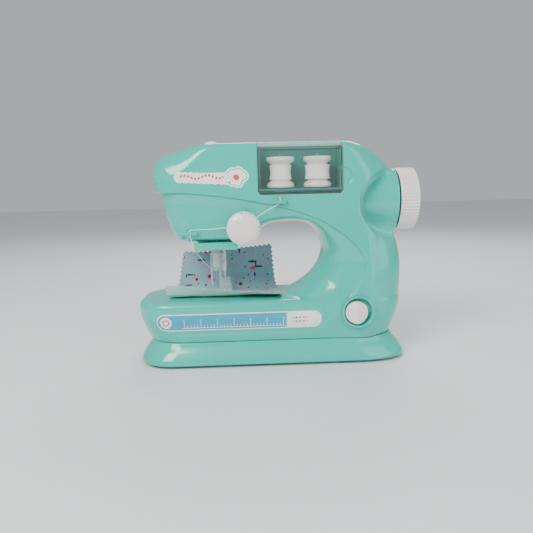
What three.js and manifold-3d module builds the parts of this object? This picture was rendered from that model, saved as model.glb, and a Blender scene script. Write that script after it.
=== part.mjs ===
// Toy sewing machine, battery driven, about 265 mm long, 96 mm deep and 204 mm high.
// Millimetres, +X towards the handwheel, +Y to the back, +Z up, origin under the middle of the base.
import * as THREE from 'three';
import { mergeVertices } from 'three/addons/utils/BufferGeometryUtils.js';
import Module from 'manifold-3d';

const wasm = await Module();
wasm.setup();

// ---------------------------------------------------------------- driving dimensions
const WALL = 2.5; // moulded wall thickness
const GAP = 0.3; // clearance between pieces that touch
const TOP = 201.5; // highest point of the casing
const BED_TOP = 60; // working surface
const SEAM_Z = 22.6; // lower rim of the two casing halves
const TRAY_TOP = 22.2;
const TRAY_FLOOR = 2.5; // the rubber feet fill the space below
const AXIS_Z = 147.7; // height of the main shaft
const NEEDLE_X = -61.5;
const PRESSER_X = -54;
const PRESSER_Y = 4;
const LEDGE_STEP = 2; // how far the face inside the ledge line lies behind the outer face
const HEAD_RADIUS = 24; // plan radius of the head's left corners
const BASE_RADIUS = 32; // plan radius of the base's left corners
const END_LENGTH = 58; // length over which the right end rounds off in plan
const WINDOW = { left: -20, right: 56.5, bottom: 155, back: -4 };
const SPOOL_X = [1.2, 35.2];
const SPOOL_Y = -20;
const SPOOL_BOTTOM = 160.8;
const KNOB = { x: -33.7, z: 126 };
const SWITCH = { x: 68.2, z: 47.5 };
const BUTTON = { x: -61.7, y: -10 };
const BOSS = { start: 60, end: 110, rootRadius: 26.5, endRadius: 29 };
const GEAR_MODULE = 1;
const IDLER_Z = AXIS_Z - 24;
const MOTOR_Z = IDLER_Z - 23;

// ---------------------------------------------------------------- colours
const plastic = (color, roughness = 0.3) => new THREE.MeshStandardMaterial({ color, roughness });
const metal = (color, roughness = 0.3) => new THREE.MeshStandardMaterial({ color, roughness, metalness: 1 });
const MINT = plastic(0x70cfc3, 0.22);
const WHITE = plastic(0xf1efec, 0.3);
const CLEAR = new THREE.MeshStandardMaterial({ color: 0xd8ece9, roughness: 0.08, transparent: true, opacity: 0.4 });
const DARK = plastic(0x2b2f33, 0.5);
const NATURAL = plastic(0xe6e2d6, 0.45);
const RUBBER = plastic(0x3a3d40, 0.9);
const STEEL = metal(0xc9ccd0, 0.3);
const BRASS = metal(0xc9a45c, 0.35);
const BOARD = plastic(0x2f6b3f, 0.5);
const CELL = plastic(0x3d5f8f, 0.35);
const THREAD = plastic(0xf5f3ee, 0.9);
const CLOTH = plastic(0x9fb6c0, 0.95);

// ---------------------------------------------------------------- solids
function welded(geometry) {
  const plain = geometry.clone();
  plain.deleteAttribute('normal');
  plain.deleteAttribute('uv');
  return mergeVertices(plain, 1e-4);
}

function signedVolume(positions, faces) {
  let sum = 0;
  const corner = [new THREE.Vector3(), new THREE.Vector3(), new THREE.Vector3()];
  for (let i = 0; i < faces.length; i += 3) {
    corner.forEach((c, k) => c.fromArray(positions, 3 * faces[i + k]));
    sum += corner[0].dot(corner[1].cross(corner[2]));
  }
  return sum / 6;
}

function solidOf(geometry) {
  const mesh = welded(geometry);
  const positions = Float32Array.from(mesh.attributes.position.array);
  const faces = [];
  const index = mesh.index.array;
  for (let i = 0; i < index.length; i += 3) {
    const [a, b, c] = [index[i], index[i + 1], index[i + 2]];
    if (a !== b && b !== c && c !== a) faces.push(a, b, c);
  }
  if (signedVolume(positions, faces) < 0) {
    for (let i = 0; i < faces.length; i += 3) [faces[i], faces[i + 1]] = [faces[i + 1], faces[i]];
  }
  const source = { numProp: 3, vertProperties: positions, triVerts: Uint32Array.from(faces) };
  return new wasm.Manifold(new wasm.Mesh(source));
}

function geometryOf(solid) {
  const mesh = solid.getMesh();
  const geometry = new THREE.BufferGeometry();
  geometry.setAttribute('position', new THREE.BufferAttribute(Float32Array.from(mesh.vertProperties), 3));
  geometry.setIndex(new THREE.BufferAttribute(Uint32Array.from(mesh.triVerts), 1));
  geometry.computeVertexNormals();
  return geometry;
}

const join = (...geometries) => geometryOf(geometries.map(solidOf).reduce((a, b) => a.add(b)));
const common = (a, b) => geometryOf(solidOf(a).intersect(solidOf(b)));

function cut(base, ...tools) {
  return geometryOf(tools.map(solidOf).reduce((body, tool) => body.subtract(tool), solidOf(base)));
}

// ---------------------------------------------------------------- basic shapes
function block(x0, x1, y0, y1, z0, z1) {
  const geometry = new THREE.BoxGeometry(x1 - x0, y1 - y0, z1 - z0);
  return geometry.translate((x0 + x1) / 2, (y0 + y1) / 2, (z0 + z1) / 2);
}

// Turns geometry made along +Z (shape in XY) so that it runs along the named axis.
function alongAxis(geometry, axis) {
  const x = new THREE.Vector3(1, 0, 0);
  const y = new THREE.Vector3(0, 1, 0);
  const z = new THREE.Vector3(0, 0, 1);
  const bases = { x: [y, z, x], y: [z, x, y], z: [x, y, z] };
  return geometry.applyMatrix4(new THREE.Matrix4().makeBasis(...bases[axis]));
}

function placeOnAxis(geometry, axis, a, b) {
  const offsets = { x: [0, a, b], y: [a, 0, b], z: [a, b, 0] };
  return geometry.translate(...offsets[axis]);
}

// A round bar along an axis; a and b are its two other coordinates, in x, y, z order.
function rod(axis, radius, from, to, a, b, sides = 20) {
  const bar = new THREE.CylinderGeometry(radius, radius, to - from, sides);
  bar.rotateX(Math.PI / 2).translate(0, 0, (from + to) / 2);
  return placeOnAxis(alongAxis(bar, axis), axis, a, b);
}

// A turned piece; the profile lists [radius, position along the axis].
function turned(axis, profile, a, b, sides = 24) {
  const points = profile.map(([radius, height]) => new THREE.Vector2(radius, height));
  const body = new THREE.LatheGeometry(points, sides).rotateX(Math.PI / 2);
  body.rotateZ(Math.PI);
  return placeOnAxis(alongAxis(body, axis), axis, a, b);
}

const ring = (axis, inner, outer, from, to, a, b, sides = 24) =>
  turned(axis, [[inner, from], [outer, from], [outer, to], [inner, to], [inner, from]], a, b, sides);

const shapeOf = (points) => new THREE.Shape(points.map(([u, v]) => new THREE.Vector2(u, v)));

// Prisms: outline in (x, z) run along Y, and outline in (y, z) run along X.
function prismY(points, y0, y1) {
  const body = new THREE.ExtrudeGeometry(shapeOf(points), { depth: y1 - y0, bevelEnabled: false });
  return body.rotateX(Math.PI / 2).translate(0, y1, 0);
}

function prismX(points, x0, x1) {
  const body = new THREE.ExtrudeGeometry(shapeOf(points), { depth: x1 - x0, bevelEnabled: false });
  return alongAxis(body, 'x').translate(x0, 0, 0);
}

function prismZ(points, z0, z1) {
  const body = new THREE.ExtrudeGeometry(shapeOf(points), { depth: z1 - z0, bevelEnabled: false });
  return body.translate(0, 0, z0);
}

// Skin over closed rings of equal count; flat picks the two coordinates that close the ends.
function loft(rings, flat) {
  const count = rings[0].length;
  const positions = rings.flat().flatMap((p) => [p.x, p.y, p.z]);
  const faces = [];
  for (let r = 0; r + 1 < rings.length; r += 1) {
    for (let i = 0; i < count; i += 1) {
      const next = (i + 1) % count;
      const [a, b, c, d] = [r * count + i, r * count + next, (r + 1) * count + next, (r + 1) * count + i];
      faces.push(a, b, c, a, c, d);
    }
  }
  const cap = (row, flip) => {
    const outline = rings[row].map((p) => new THREE.Vector2(p[flat[0]], p[flat[1]]));
    for (const face of THREE.ShapeUtils.triangulateShape(outline, [])) {
      const [a, b, c] = face.map((v) => v + row * count);
      faces.push(...(flip ? [a, c, b] : [a, b, c]));
    }
  };
  const walksLeft = THREE.ShapeUtils.area(rings[0].map((p) => new THREE.Vector2(p[flat[0]], p[flat[1]]))) > 0;
  cap(0, walksLeft);
  cap(rings.length - 1, !walksLeft);
  const geometry = new THREE.BufferGeometry();
  geometry.setAttribute('position', new THREE.Float32BufferAttribute(positions, 3));
  geometry.setIndex(faces);
  return geometry;
}

// A round wire or thread through a list of points.
function wire(points, radius, sides, steps) {
  const path = new THREE.CatmullRomCurve3(points.map((p) => new THREE.Vector3(...p)), false, 'centripetal');
  const section = new THREE.Shape().absarc(0, 0, radius, 0, 2 * Math.PI);
  const options = { extrudePath: path, steps, bevelEnabled: false, curveSegments: sides };
  return new THREE.ExtrudeGeometry(section, options);
}

function mirrored(geometry) {
  return geometryOf(solidOf(geometry.clone().scale(1, -1, 1)));
}

const mix = (a, b, t) => a + (b - a) * t;

// Straight-line reading of a table of [key, value] pairs.
function read(table, key) {
  const last = table.length - 1;
  if (key <= table[0][0]) return table[0][1];
  if (key >= table[last][0]) return table[last][1];
  const row = table.findIndex(([k]) => k > key);
  const [k0, v0] = table[row - 1];
  const [k1, v1] = table[row];
  return mix(v0, v1, (key - k0) / (k1 - k0));
}

// ---------------------------------------------------------------- casing outlines
// Half depth of the arm and column, leaning back as they rise.
const halfDepth = (z) => 45 - z / 18;

// Left end of the head against height, with the overhang at the ledge.
const LEDGE_LEFT_Z = 158.5;
const HEAD_LEFT = [
  [112, -87.4], [115, -93.8], [123.5, -99.9], [134, -104.2], [146, -107.2], [LEDGE_LEFT_Z, -109.4],
];
const CAP_LEFT = [
  [LEDGE_LEFT_Z, -114], [166, -115.8], [175.5, -116.2], [184.5, -113.4], [190, -109.3],
  [193.4, -101.9], [196, -95.2], [198.2, -86], [200, -76.5], [TOP, -66],
];
// Right silhouette of base, column and arm against height.
const RIGHT_END = [
  [SEAM_Z, 103], [26, 104.6], [41, 109.4], [54, 112.2], [69, 114], [83.5, 114.8], [94, 114.2],
  [108, 111.6], [119, 108.4], [147, 107.6], [171, 106.3], [179.6, 102.4], [187.1, 96.7],
  [193.7, 88.1], [198.6, 76.8], [200.4, 67.4], [TOP, 57],
];
// How far the base stands in from its widest outline, against height.
const BASE_INSET = [[SEAM_Z, 8.6], [25, 7.4], [33.5, 4.3], [44.5, 0.7], [52, 0], [55.6, 1.3], [58.6, 4.2], [BED_TOP, 8.4]];
const BASE_LEFT = -134.5;
const BASE_HALF_DEPTH = 44.5;
const FRONT_LEAN = 0.6; // the front and back of the base lean in less than its end

const CORNER_STEPS = 5;
const END_STEPS = 14;
const END_POWER = 2.6;

// Plan outline: round corners at the left, a long superellipse at the right.
function planRing(z, left, right, depth, radius, endLength) {
  const points = [];
  const corner = Math.min(radius, depth - 0.5);
  for (let k = 0; k <= END_STEPS; k += 1) {
    const angle = -Math.PI / 2 + (Math.PI * k) / END_STEPS;
    const u = Math.abs(Math.cos(angle)) ** (2 / END_POWER);
    const v = Math.sign(Math.sin(angle)) * Math.abs(Math.sin(angle)) ** (2 / END_POWER);
    points.push(new THREE.Vector3(right - endLength * (1 - u), depth * v, z));
  }
  for (const side of [1, -1]) {
    for (let k = 0; k <= CORNER_STEPS; k += 1) {
      const turn = ((side > 0 ? k : CORNER_STEPS - k) / CORNER_STEPS) * (Math.PI / 2);
      const x = left + corner * (1 - Math.sin(turn));
      const y = side * (depth - corner * (1 - Math.cos(turn)));
      points.push(new THREE.Vector3(x, y, z));
    }
  }
  return points;
}

const EDGE_RADIUS = 7; // rounding of the casing's top edge
function roundedDepth(z, roof) {
  const rise = Math.max(0, z - (roof - EDGE_RADIUS));
  return EDGE_RADIUS - Math.sqrt(Math.max(0, EDGE_RADIUS ** 2 - rise ** 2));
}

// Head, arm and column as one stack of plan outlines; inset shrinks it for the hollow inside.
function bodySolid(inset) {
  const lift = (z) => (z > LEDGE_LEFT_Z ? z - inset : z);
  const levels = [50, 69, 83.5, 94, 108, 112, 115, 123.5, 134, 146, LEDGE_LEFT_Z];
  const caps = [LEDGE_LEFT_Z + 0.01, 166, 175.5, 184.5, 190, 193.4, 196, 198.2, 199.7, 200.8, TOP];
  const slice = (z, table) => {
    const depth = halfDepth(z) - roundedDepth(z, TOP) - inset;
    const left = (z < 112 ? -85 : read(table, z)) + inset;
    return planRing(lift(z), left, read(RIGHT_END, z) - inset, depth, HEAD_RADIUS - inset, END_LENGTH - inset);
  };
  const rings = [...levels.map((z) => slice(z, HEAD_LEFT)), ...caps.map((z) => slice(z, CAP_LEFT))];
  return loft(rings, ['x', 'y']);
}

// The base below the working surface; the hollow is open underneath.
function bedSolid(inset) {
  const levels = [SEAM_Z, 25, 33.5, 44.5, 52, 55.6, 58.6, BED_TOP];
  const rings = levels.map((z, row) => {
    const lean = read(BASE_INSET, z);
    const height = row === 0 && inset > 0 ? z - 2 : z - (z > 50 ? inset : 0);
    const depth = BASE_HALF_DEPTH - lean * (z < 52 ? FRONT_LEAN : 1) - inset;
    const left = BASE_LEFT + lean + inset;
    return planRing(height, left, read(RIGHT_END, z) - inset, depth, BASE_RADIUS - inset, END_LENGTH - inset);
  });
  return loft(rings, ['x', 'y']);
}

// The space under the arm. Each row gives one point of the narrowest edge (mid plane), of the line
// where the flare meets the front face, and of the ledge line around it, as x, z pairs.
const THROAT = [
  [[4, 60], [20, 60], [40, 60]],
  [[9, 63], [46, 60.5], [57, 60]],
  [[14, 66.5], [52.6, 62.6], [63, 62.5]],
  [[19, 69.9], [55.8, 66.5], [66.3, 67.5]],
  [[24.7, 74.4], [58.4, 71.6], [69.4, 72.6]],
  [[30.4, 79.9], [61.8, 80.5], [74, 82.7]],
  [[35.5, 86.8], [65, 88.5], [75.8, 91]],
  [[39.2, 95], [64.6, 95.5], [74, 97.5]],
  [[40.8, 103.8], [59.5, 104.5], [67.6, 106.9]],
  [[38.5, 112.2], [50.5, 113.6], [57.5, 116.3]],
  [[33.8, 120.8], [40.4, 122.8], [43.9, 126.2]],
  [[26.7, 127], [29.8, 130.4], [30.4, 133.3]],
  [[19.3, 129.2], [20.5, 133.8], [18, 138]],
  [[9.7, 129.8], [9.8, 136], [4, 142.4]],
  [[-2, 128.8], [-4, 136], [-10, 145.9]],
  [[-8.5, 127.8], [-12, 135], [-22, 148.4]],
  [[-14, 125.8], [-18.5, 132.6], [-34, 150.9]],
  [[-19, 122.2], [-24, 128.5], [-47, 153.2]],
  [[-30, 116], [-34, 122.4], [-60, 155]],
  [[-45, 112.2], [-47, 118.6], [-72, 156.5]],
  [[-66, 112], [-66, 118.6], [-85, 158]],
  [[-88, 112.2], [-88, 118.8], [-98, 158.4]],
];
const FAR_LEFT = -150;
const FLARE_STEPS = 6;

// Moves an open outline to its right-hand side, away from the space under the arm.
function shifted(points, distance) {
  return points.map((point, i) => {
    const before = points[Math.max(0, i - 1)];
    const after = points[Math.min(points.length - 1, i + 1)];
    const run = new THREE.Vector2(after[0] - before[0], after[1] - before[1]).normalize();
    return [point[0] + run.y * distance, point[1] - run.x * distance];
  });
}

function throatLoop(column, grow) {
  const line = THROAT.map((row) => row[column]);
  const open = [[FAR_LEFT, line[0][1]], ...line, [FAR_LEFT, line[line.length - 1][1]]];
  return shifted(open, grow);
}

// Front half of the cut under the arm; grow thickens it so that the hollow keeps its wall.
function throatCut(grow) {
  const [edge, flare, ledge] = [0, 1, 2].map((column) => throatLoop(column, grow));
  const faceDepth = (z) => halfDepth(z) - LEDGE_STEP - grow;
  const ringOf = (outline, yOf) => outline.map(([x, z]) => new THREE.Vector3(x, yOf(z), z));
  const rings = [ringOf(edge, () => 1)];
  for (let k = 0; k <= FLARE_STEPS; k += 1) {
    const angle = (k / FLARE_STEPS) * (Math.PI / 2);
    const spread = 1 - Math.cos(angle);
    const line = edge.map(([x, z], i) => [mix(x, flare[i][0], spread), mix(z, flare[i][1], spread)]);
    rings.push(ringOf(line, (z) => -faceDepth(z) * Math.sin(angle)));
  }
  rings.push(ringOf(ledge, (z) => -faceDepth(z)));
  rings.push(ringOf(ledge, () => -70));
  return loft(rings, ['x', 'z']);
}

// ---------------------------------------------------------------- casing
const SCOOP = { x: 110, z: 144.5, halfLength: 38.5, halfHeight: 33.2, coreHalf: 25 };

// Oval hollow around the handwheel boss, in front of the core that joins arm and column.
function scoop(grow) {
  const oval = [];
  const steps = 48;
  for (let k = 0; k < steps; k += 1) {
    const angle = (2 * Math.PI * k) / steps;
    const x = SCOOP.x + (SCOOP.halfLength + grow) * Math.cos(angle);
    oval.push([x, SCOOP.z + (SCOOP.halfHeight + grow) * Math.sin(angle)]);
  }
  return prismY(oval, -60, grow - SCOOP.coreHalf);
}

function boss(inset) {
  const { start, end, rootRadius, endRadius } = BOSS;
  const profile = [[0, start], [rootRadius - inset, start], [endRadius - inset, end - inset], [0, end - inset]];
  return turned('x', profile, 0, AXIS_Z, 40);
}

function windowPrism(inset) {
  const { back } = WINDOW;
  const [left, right, bottom] = [WINDOW.left + inset, WINDOW.right - inset, WINDOW.bottom + inset];
  const r = 4;
  const outline = [[left, 215], [left, bottom + r], [left + 0.3 * r, bottom + 0.3 * r], [left + r, bottom]];
  outline.push([right - r, bottom], [right - 0.3 * r, bottom + 0.3 * r], [right, bottom + r], [right, 215]);
  return prismY(outline, -60, back);
}

const SHAFT_HOLE = 6.3;
const PLATE_OPENING = { left: -84, right: -36, half: 13 };
const HEAD_OPENING = { left: -73, right: -44, half: 13 };

function shellHalf() {
  const outer = cut(join(cut(bodySolid(0), scoop(0)), bedSolid(0), boss(0)), throatCut(0));
  const inner = cut(join(cut(bodySolid(WALL), scoop(WALL)), bedSolid(WALL), boss(WALL)), throatCut(WALL));
  const shell = cut(outer, inner);
  const front = common(shell, block(-200, 200, -100, -GAP / 2, 0, 300));
  const plate = PLATE_OPENING;
  const head = HEAD_OPENING;
  return cut(
    front,
    rod('x', SHAFT_HOLE, 100, 120, 0, AXIS_Z, 24),
    block(plate.left, plate.right, -plate.half, 5, 50, 65),
    block(head.left, head.right, -head.half, 5, 100, 122),
  );
}

const shell = shellHalf();

const LEVER = { x: -54.5, y: 24, z: 130 };
const SOCKET = { x: 60, z: 36 };
const CASING_SCREWS = [{ x: -95, z: 172 }, { x: 64, z: 180 }];

function frontShell() {
  return cut(
    shell,
    windowPrism(0),
    rod('y', 4.3, -50, -28, KNOB.x, KNOB.z),
    rod('y', 13.9, -55, -34, SWITCH.x, SWITCH.z, 28),
    rod('z', 6.3, 190, 210, BUTTON.x, BUTTON.y),
  );
}

function rearShell() {
  const screwHoles = CASING_SCREWS.map(({ x, z }) => rod('y', 3.5, 25, 50, x, z, 16));
  return cut(
    mirrored(shell),
    block(LEVER.x - 4.5, LEVER.x + 4.5, 28, 60, LEVER.z - 12, LEVER.z + 6),
    rod('y', 4.4, 30, 60, SOCKET.x, SOCKET.z),
    ...screwHoles,
  );
}

// ---------------------------------------------------------------- base tray, door and feet
const DOOR = { left: -1, right: 59, half: 24.5 };
const TRAY_OUTLINE = [
  // height, left, right, half depth
  [TRAY_FLOOR, -133.4, 115, 47.2], [4, -134.5, 116, 48], [8, -133.4, 114.6, 47.2], [14, -129.6, 110.6, 44],
  [19, -125.6, 106.4, 40.6], [TRAY_TOP, -124.2, 105, 39.4],
];

function traySolid(inset, lowest) {
  const rings = TRAY_OUTLINE.map(([z, left, right, depth]) => {
    const height = inset > 0 ? Math.max(z, lowest) + (z === TRAY_TOP ? 2 : 0) : z;
    return planRing(height, left + inset, right - inset, depth - inset, BASE_RADIUS + 2 - inset, END_LENGTH - inset);
  });
  return loft(inset > 0 ? rings.filter((r, i) => i > 1) : rings, ['x', 'y']);
}

const SPEAKER = { x: -98, radius: 16 };
const DOOR_SCREW = { x: 66, y: 0 };

function baseTray() {
  const slots = [-10, -5, 0, 5, 10].map((dx) =>
    block(SPEAKER.x + dx - 1.1, SPEAKER.x + dx + 1.1, -9, 9, 0, 6));
  const hollow = join(traySolid(WALL, 5), block(-118, 80, -28, 28, 5, 9));
  const doorway = block(DOOR.left, DOOR.right, -DOOR.half, DOOR.half, 0, 8);
  return cut(traySolid(0, 0), hollow, doorway, ...slots, rod('z', 3.5, 0, 8, DOOR_SCREW.x, DOOR_SCREW.y, 16));
}

function batteryDoor() {
  const { left, right, half } = DOOR;
  return block(left + GAP, right - GAP, -half + GAP, half - GAP, TRAY_FLOOR + 0.2, 4.6);
}

const FEET = { front_left: [-104, -28], front_right: [86, -28], rear_left: [-104, 28], rear_right: [86, 28] };
const foot = ([x, y]) => turned('z', [[0, 0], [6.2, 0], [7, 0.8], [7, 2.2], [0, 2.2]], x, y, 24);

function batteryBox() {
  const shellBox = block(-3, 61, -26.5, 26.5, 5.4, 24.5);
  return cut(shellBox, block(-1.5, 59.5, -25, 25, 4, 23));
}

const CELL_Y = [-15.8, 0, 15.8];
function battery(y) {
  const profile = [[0, 3.5], [6.8, 3.5], [7.2, 4], [7.2, 51.6], [6.6, 52.2], [2.7, 52.2], [2.7, 53.6], [0, 53.6]];
  return turned('x', profile, y, 13.4, 20);
}

// A sprung contact strip: flat plate with a dimple for each cell.
function contactStrip(x0, x1, dimple) {
  const dimples = CELL_Y.map((y) => rod('x', 3, Math.min(x0, dimple), Math.max(x1, dimple), y, 13.4, 12));
  return join(block(x0, x1, -22, 22, 7, 20), ...dimples);
}

// ---------------------------------------------------------------- electrics
function circuitBoard() {
  const board = block(-122, -90, -20, 20, 30, 31.6);
  const chips = [[-116, -108, -8, 4, 31, 34], [-104, -98, 6, 14, 31, 36], [-105, -95, -15, -9, 31, 33.5]];
  return join(board, ...chips.map((c) => block(...c)));
}

function speaker() {
  const r = SPEAKER.radius;
  const profile = [[0, 5.4], [r, 5.4], [r, 8], [r - 5, 10.5], [8, 11], [8, 15], [0, 15]];
  return turned('z', profile, SPEAKER.x, 0, 24);
}

function pedalSocket() {
  const profile = [[1.8, 44.4], [5.4, 44.4], [5.4, 43.5], [4, 43.5], [4, 29], [0, 29], [0, 31], [1.8, 31], [1.8, 44.4]];
  return turned('y', profile, SOCKET.x, SOCKET.z, 20);
}

function motor() {
  const can = rod('x', 10, 71.2, 95, 0, MOTOR_Z, 24);
  const flats = block(70, 97, -7.6, 7.6, MOTOR_Z - 11, MOTOR_Z + 11);
  const tail = rod('x', 3, 94, 97, 0, MOTOR_Z, 12);
  return cut(join(common(can, flats), tail), rod('x', 1.3, 60, 76, 0, MOTOR_Z, 12));
}

// ---------------------------------------------------------------- gear train and shaft
function gearSolid(teeth, x0, x1, z, bore, phase = 0) {
  const pitch = (teeth * GEAR_MODULE) / 2;
  const tip = pitch + 0.8 * GEAR_MODULE;
  const root = pitch - 1.15 * GEAR_MODULE;
  const outline = [];
  for (let tooth = 0; tooth < teeth; tooth += 1) {
    for (const [share, radius] of [[-0.3, root], [-0.12, tip], [0.12, tip], [0.3, root]]) {
      const angle = ((tooth + share + phase) / teeth) * 2 * Math.PI;
      outline.push([radius * Math.cos(angle), z + radius * Math.sin(angle)]);
    }
  }
  return bore > 0 ? cut(prismX(outline, x0, x1), rod('x', bore, x0 - 1, x1 + 1, 0, z, 16)) : prismX(outline, x0, x1);
}

const shaftGear = () => gearSolid(36, 58.5, 63, AXIS_Z, 2.8, 0.5);

// Large and small wheel of the reduction, moulded as one and turning on a fixed pin.
function idlerGear() {
  const small = gearSolid(12, 58.5, 64.5, IDLER_Z, 0, 0);
  const large = gearSolid(36, 64.2, 68.2, IDLER_Z, 0, 0);
  return cut(join(small, large), rod('x', 1.8, 50, 80, 0, IDLER_Z, 16));
}

// The pinion carries the motor's own shaft.
function motorPinion() {
  return join(gearSolid(10, 64, 68.2, MOTOR_Z, 0, 0), rod('x', 1, 63, 75.5, 0, MOTOR_Z, 12));
}

const mainShaft = () => rod('x', 2.5, -50, WHEEL.hub - 0.2, 0, AXIS_Z, 20);
const CRANK_RADIUS = 7;
const WHEEL = { start: 111, end: 128.2, hub: 124.6, cap: 131 };

function crankDisc() {
  const disc = rod('x', 11, -54.3, -50.3, 0, AXIS_Z, 28);
  return join(disc, rod('x', 1.5, -57, -54, CRANK_RADIUS, AXIS_Z, 12));
}

function handwheel() {
  const ribs = 44;
  const outline = [];
  for (let k = 0; k < ribs; k += 1) {
    for (const [share, radius] of [[-0.26, 29.2], [0.26, 29.2], [0.34, 28.5], [0.66, 28.5]]) {
      const angle = ((k + share) / ribs) * 2 * Math.PI;
      outline.push([radius * Math.cos(angle), AXIS_Z + radius * Math.sin(angle)]);
    }
  }
  const { start, end, hub } = WHEEL;
  const cup = ring('x', 8, 26.6, start + 3.2, end + 2, 0, AXIS_Z, 36);
  const profile = [[0, start], [28.2, start], [29.3, start + 1.6], [29.3, end - 1.3], [28.2, end], [0, end]];
  const ribbed = common(prismX(outline, start, end), turned('x', profile, 0, AXIS_Z, 44));
  return cut(ribbed, cup, rod('x', 2.8, start - 2, end + 2, 0, AXIS_Z), rod('x', 8.5, hub, end + 2, 0, AXIS_Z));
}

function wheelCap() {
  const { end, hub, cap } = WHEEL;
  const profile = [[0, hub + GAP], [26.3, hub + GAP], [26.3, end + 0.6], [25.2, cap - 0.7], [12, cap], [0, cap]];
  return turned('x', profile, 0, AXIS_Z, 36);
}

const PRESSER_GUIDE = 121; // underside of the guide that both bars slide in
const bush = (x0, x1) => ring('x', 2.8, 6, x0, x1, 0, AXIS_Z, 20);

// Inner frame: carries the bush, the gear pin, the motor and the guides of the needle bar.
function chassis() {
  const back = block(-72, 56, 17.5, 20, 137, 157);
  const columnBack = block(50, 68, 19.6, 22, 86, 157);
  const bushArm = block(-46, -40, -8, 18, 138.7, 156.7);
  const gearPlate = block(54, 56, -14, 20, 94, 157);
  const motorPlate = join(block(69, 70.8, -12, 20, 88, 112), block(67, 70.8, 19.6, 22, 88, 112));
  const gearPin = rod('x', 1.5, 55, 69.5, 0, IDLER_Z, 14);
  const upperGuide = block(-70, -57.5, -6, 18, 162, 166);
  const lowerGuide = block(-70, -49.5, -6, 12, PRESSER_GUIDE, PRESSER_GUIDE + 4);
  const guidePost = block(-72, -68, 6, 20, PRESSER_GUIDE, 166);
  const frame = join(back, columnBack, bushArm, gearPlate, motorPlate, gearPin, upperGuide, lowerGuide, guidePost);
  return cut(
    frame,
    rod('x', SHAFT_HOLE, -48, -38, 0, AXIS_Z),
    rod('x', 3.4, 52, 58, 0, AXIS_Z),
    rod('x', 2.2, 68, 73, 0, MOTOR_Z, 14),
    rod('z', 2.6, 118, 170, NEEDLE_X, 0),
    rod('z', 2.4, 118, 130, PRESSER_X, PRESSER_Y),
  );
}

// ---------------------------------------------------------------- needle and presser
// The cross slot faces the crank pin, which ends 1 mm short of it.
function needleBar() {
  const bar = rod('z', 2.2, 103.6, 174, NEEDLE_X, 0, 16);
  const yoke = cut(block(-64.5, -58, -11, 11, 143, 152.4), block(-60, -57, -9.5, 9.5, 145.9, 149.5));
  return join(bar, yoke);
}

function needleClamp() {
  const profile = [[0, 86], [2.4, 86], [3, 87.2], [3.2, 99], [3.8, 99.5], [3.8, 102.6], [3, 103.3], [0, 103.3]];
  return turned('z', profile, NEEDLE_X, 0, 20);
}

const needle = () => turned('z', [[0, 64.5], [0.7, 69], [0.7, 85.7], [0, 85.7]], NEEDLE_X, 0, 12);

// The lower collar carries the spring and the upper one rests on the lifting lever.
function presserBar() {
  const collars = [[108, 110], [128, 130]].map(([z0, z1]) => rod('z', 4, z0, z1, PRESSER_X, PRESSER_Y, 20));
  return join(rod('z', 2, 76, 131, PRESSER_X, PRESSER_Y, 16), ...collars);
}

function presserFoot() {
  const sole = block(-68, -47, -11, 9, 61.8, 63.9);
  const toes = block(-63.5, -59.5, -12, 4, 60, 66);
  const shank = block(-57.2, -48.5, 0.2, 8, 63, 75.6);
  const step = block(-58.2, -47, -6, 8, 63, 69.5);
  return cut(join(sole, shank, step), toes);
}

// Clear finger guard in front of the needle, clipped to the presser bar.
function needleGuard() {
  const pane = block(-66.5, -51.5, -8, -6.6, 84, 101);
  const legs = [-66.5, -58.6].map((x) => block(x, x + 2, -8, -6.6, 70.2, 85));
  const arm = block(-56.6, -51.5, -8, 1.6, 90, 95);
  return join(pane, ...legs, arm);
}

function presserSpring() {
  const turns = 5;
  const perTurn = 10;
  const points = [];
  for (let k = 0; k <= turns * perTurn; k += 1) {
    const angle = (k / perTurn) * 2 * Math.PI;
    const height = mix(110.9, PRESSER_GUIDE - 0.9, k / (turns * perTurn));
    points.push([PRESSER_X + 3 * Math.cos(angle), PRESSER_Y + 3 * Math.sin(angle), height]);
  }
  return wire(points, 0.5, 3, turns * perTurn);
}

// Lifting lever behind the head: pressing its outer tab down raises the presser bar's upper collar.
function presserLever() {
  const { x, y, z } = LEVER;
  const hub = rod('x', 4, x - 3.5, x + 3.5, y, z, 20);
  const tab = prismX([[y, z - 3], [47, z - 2.6], [47.6, z + 0.4], [45, z + 1.6], [y, z + 3]], x - 3, x + 3);
  const arm = prismX([[y, z + 3], [y, z - 3.4], [6.6, 125.9], [6.6, 127.4], [9, 127.4]], x - 2.5, x + 2.5);
  return join(hub, tab, arm);
}

function needleHousing() {
  const plate = block(-78.7, -39.7, -34, 15, 106.4, 111.2);
  const lip = block(-78.7, -39.7, -34, -31.6, 106.4, 113.4);
  const passage = block(-68.5, -48, -11, 10.5, 100, 115);
  return cut(join(plate, lip), passage, rod('z', 3.4, 100, 115, -70, -22, 16));
}

const lampLens = () => turned('z', [[0, 104.6], [1.8, 105], [3, 106.6], [3, 110.6], [0, 110.6]], -70, -22, 16);

// ---------------------------------------------------------------- plate, feed and bobbin
function needlePlate() {
  const { left, right, half } = PLATE_OPENING;
  const plate = block(left + GAP, right - GAP, -half + GAP, half - GAP, 57.8, 59.9);
  const slots = [-69.5, -56.5].map((x) => block(x, x + 3, -8.6, 8.6, 50, 62));
  return cut(plate, rod('z', 1.7, 50, 62, NEEDLE_X, 0, 14), ...slots);
}

function feedDog() {
  const teeth = [-69, -56].map((x) => block(x, x + 2, -6.4, 6.4, 52, 60.2));
  return join(block(-69, -54, -5, 5, 51, 54.5), ...teeth);
}

const BOBBIN_Z = 37;
function bobbinCase() {
  return cut(rod('z', 12.5, 34, 49, NEEDLE_X, 0, 28), rod('z', 11.2, 35.6, 52, NEEDLE_X, 0, 28));
}

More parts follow.
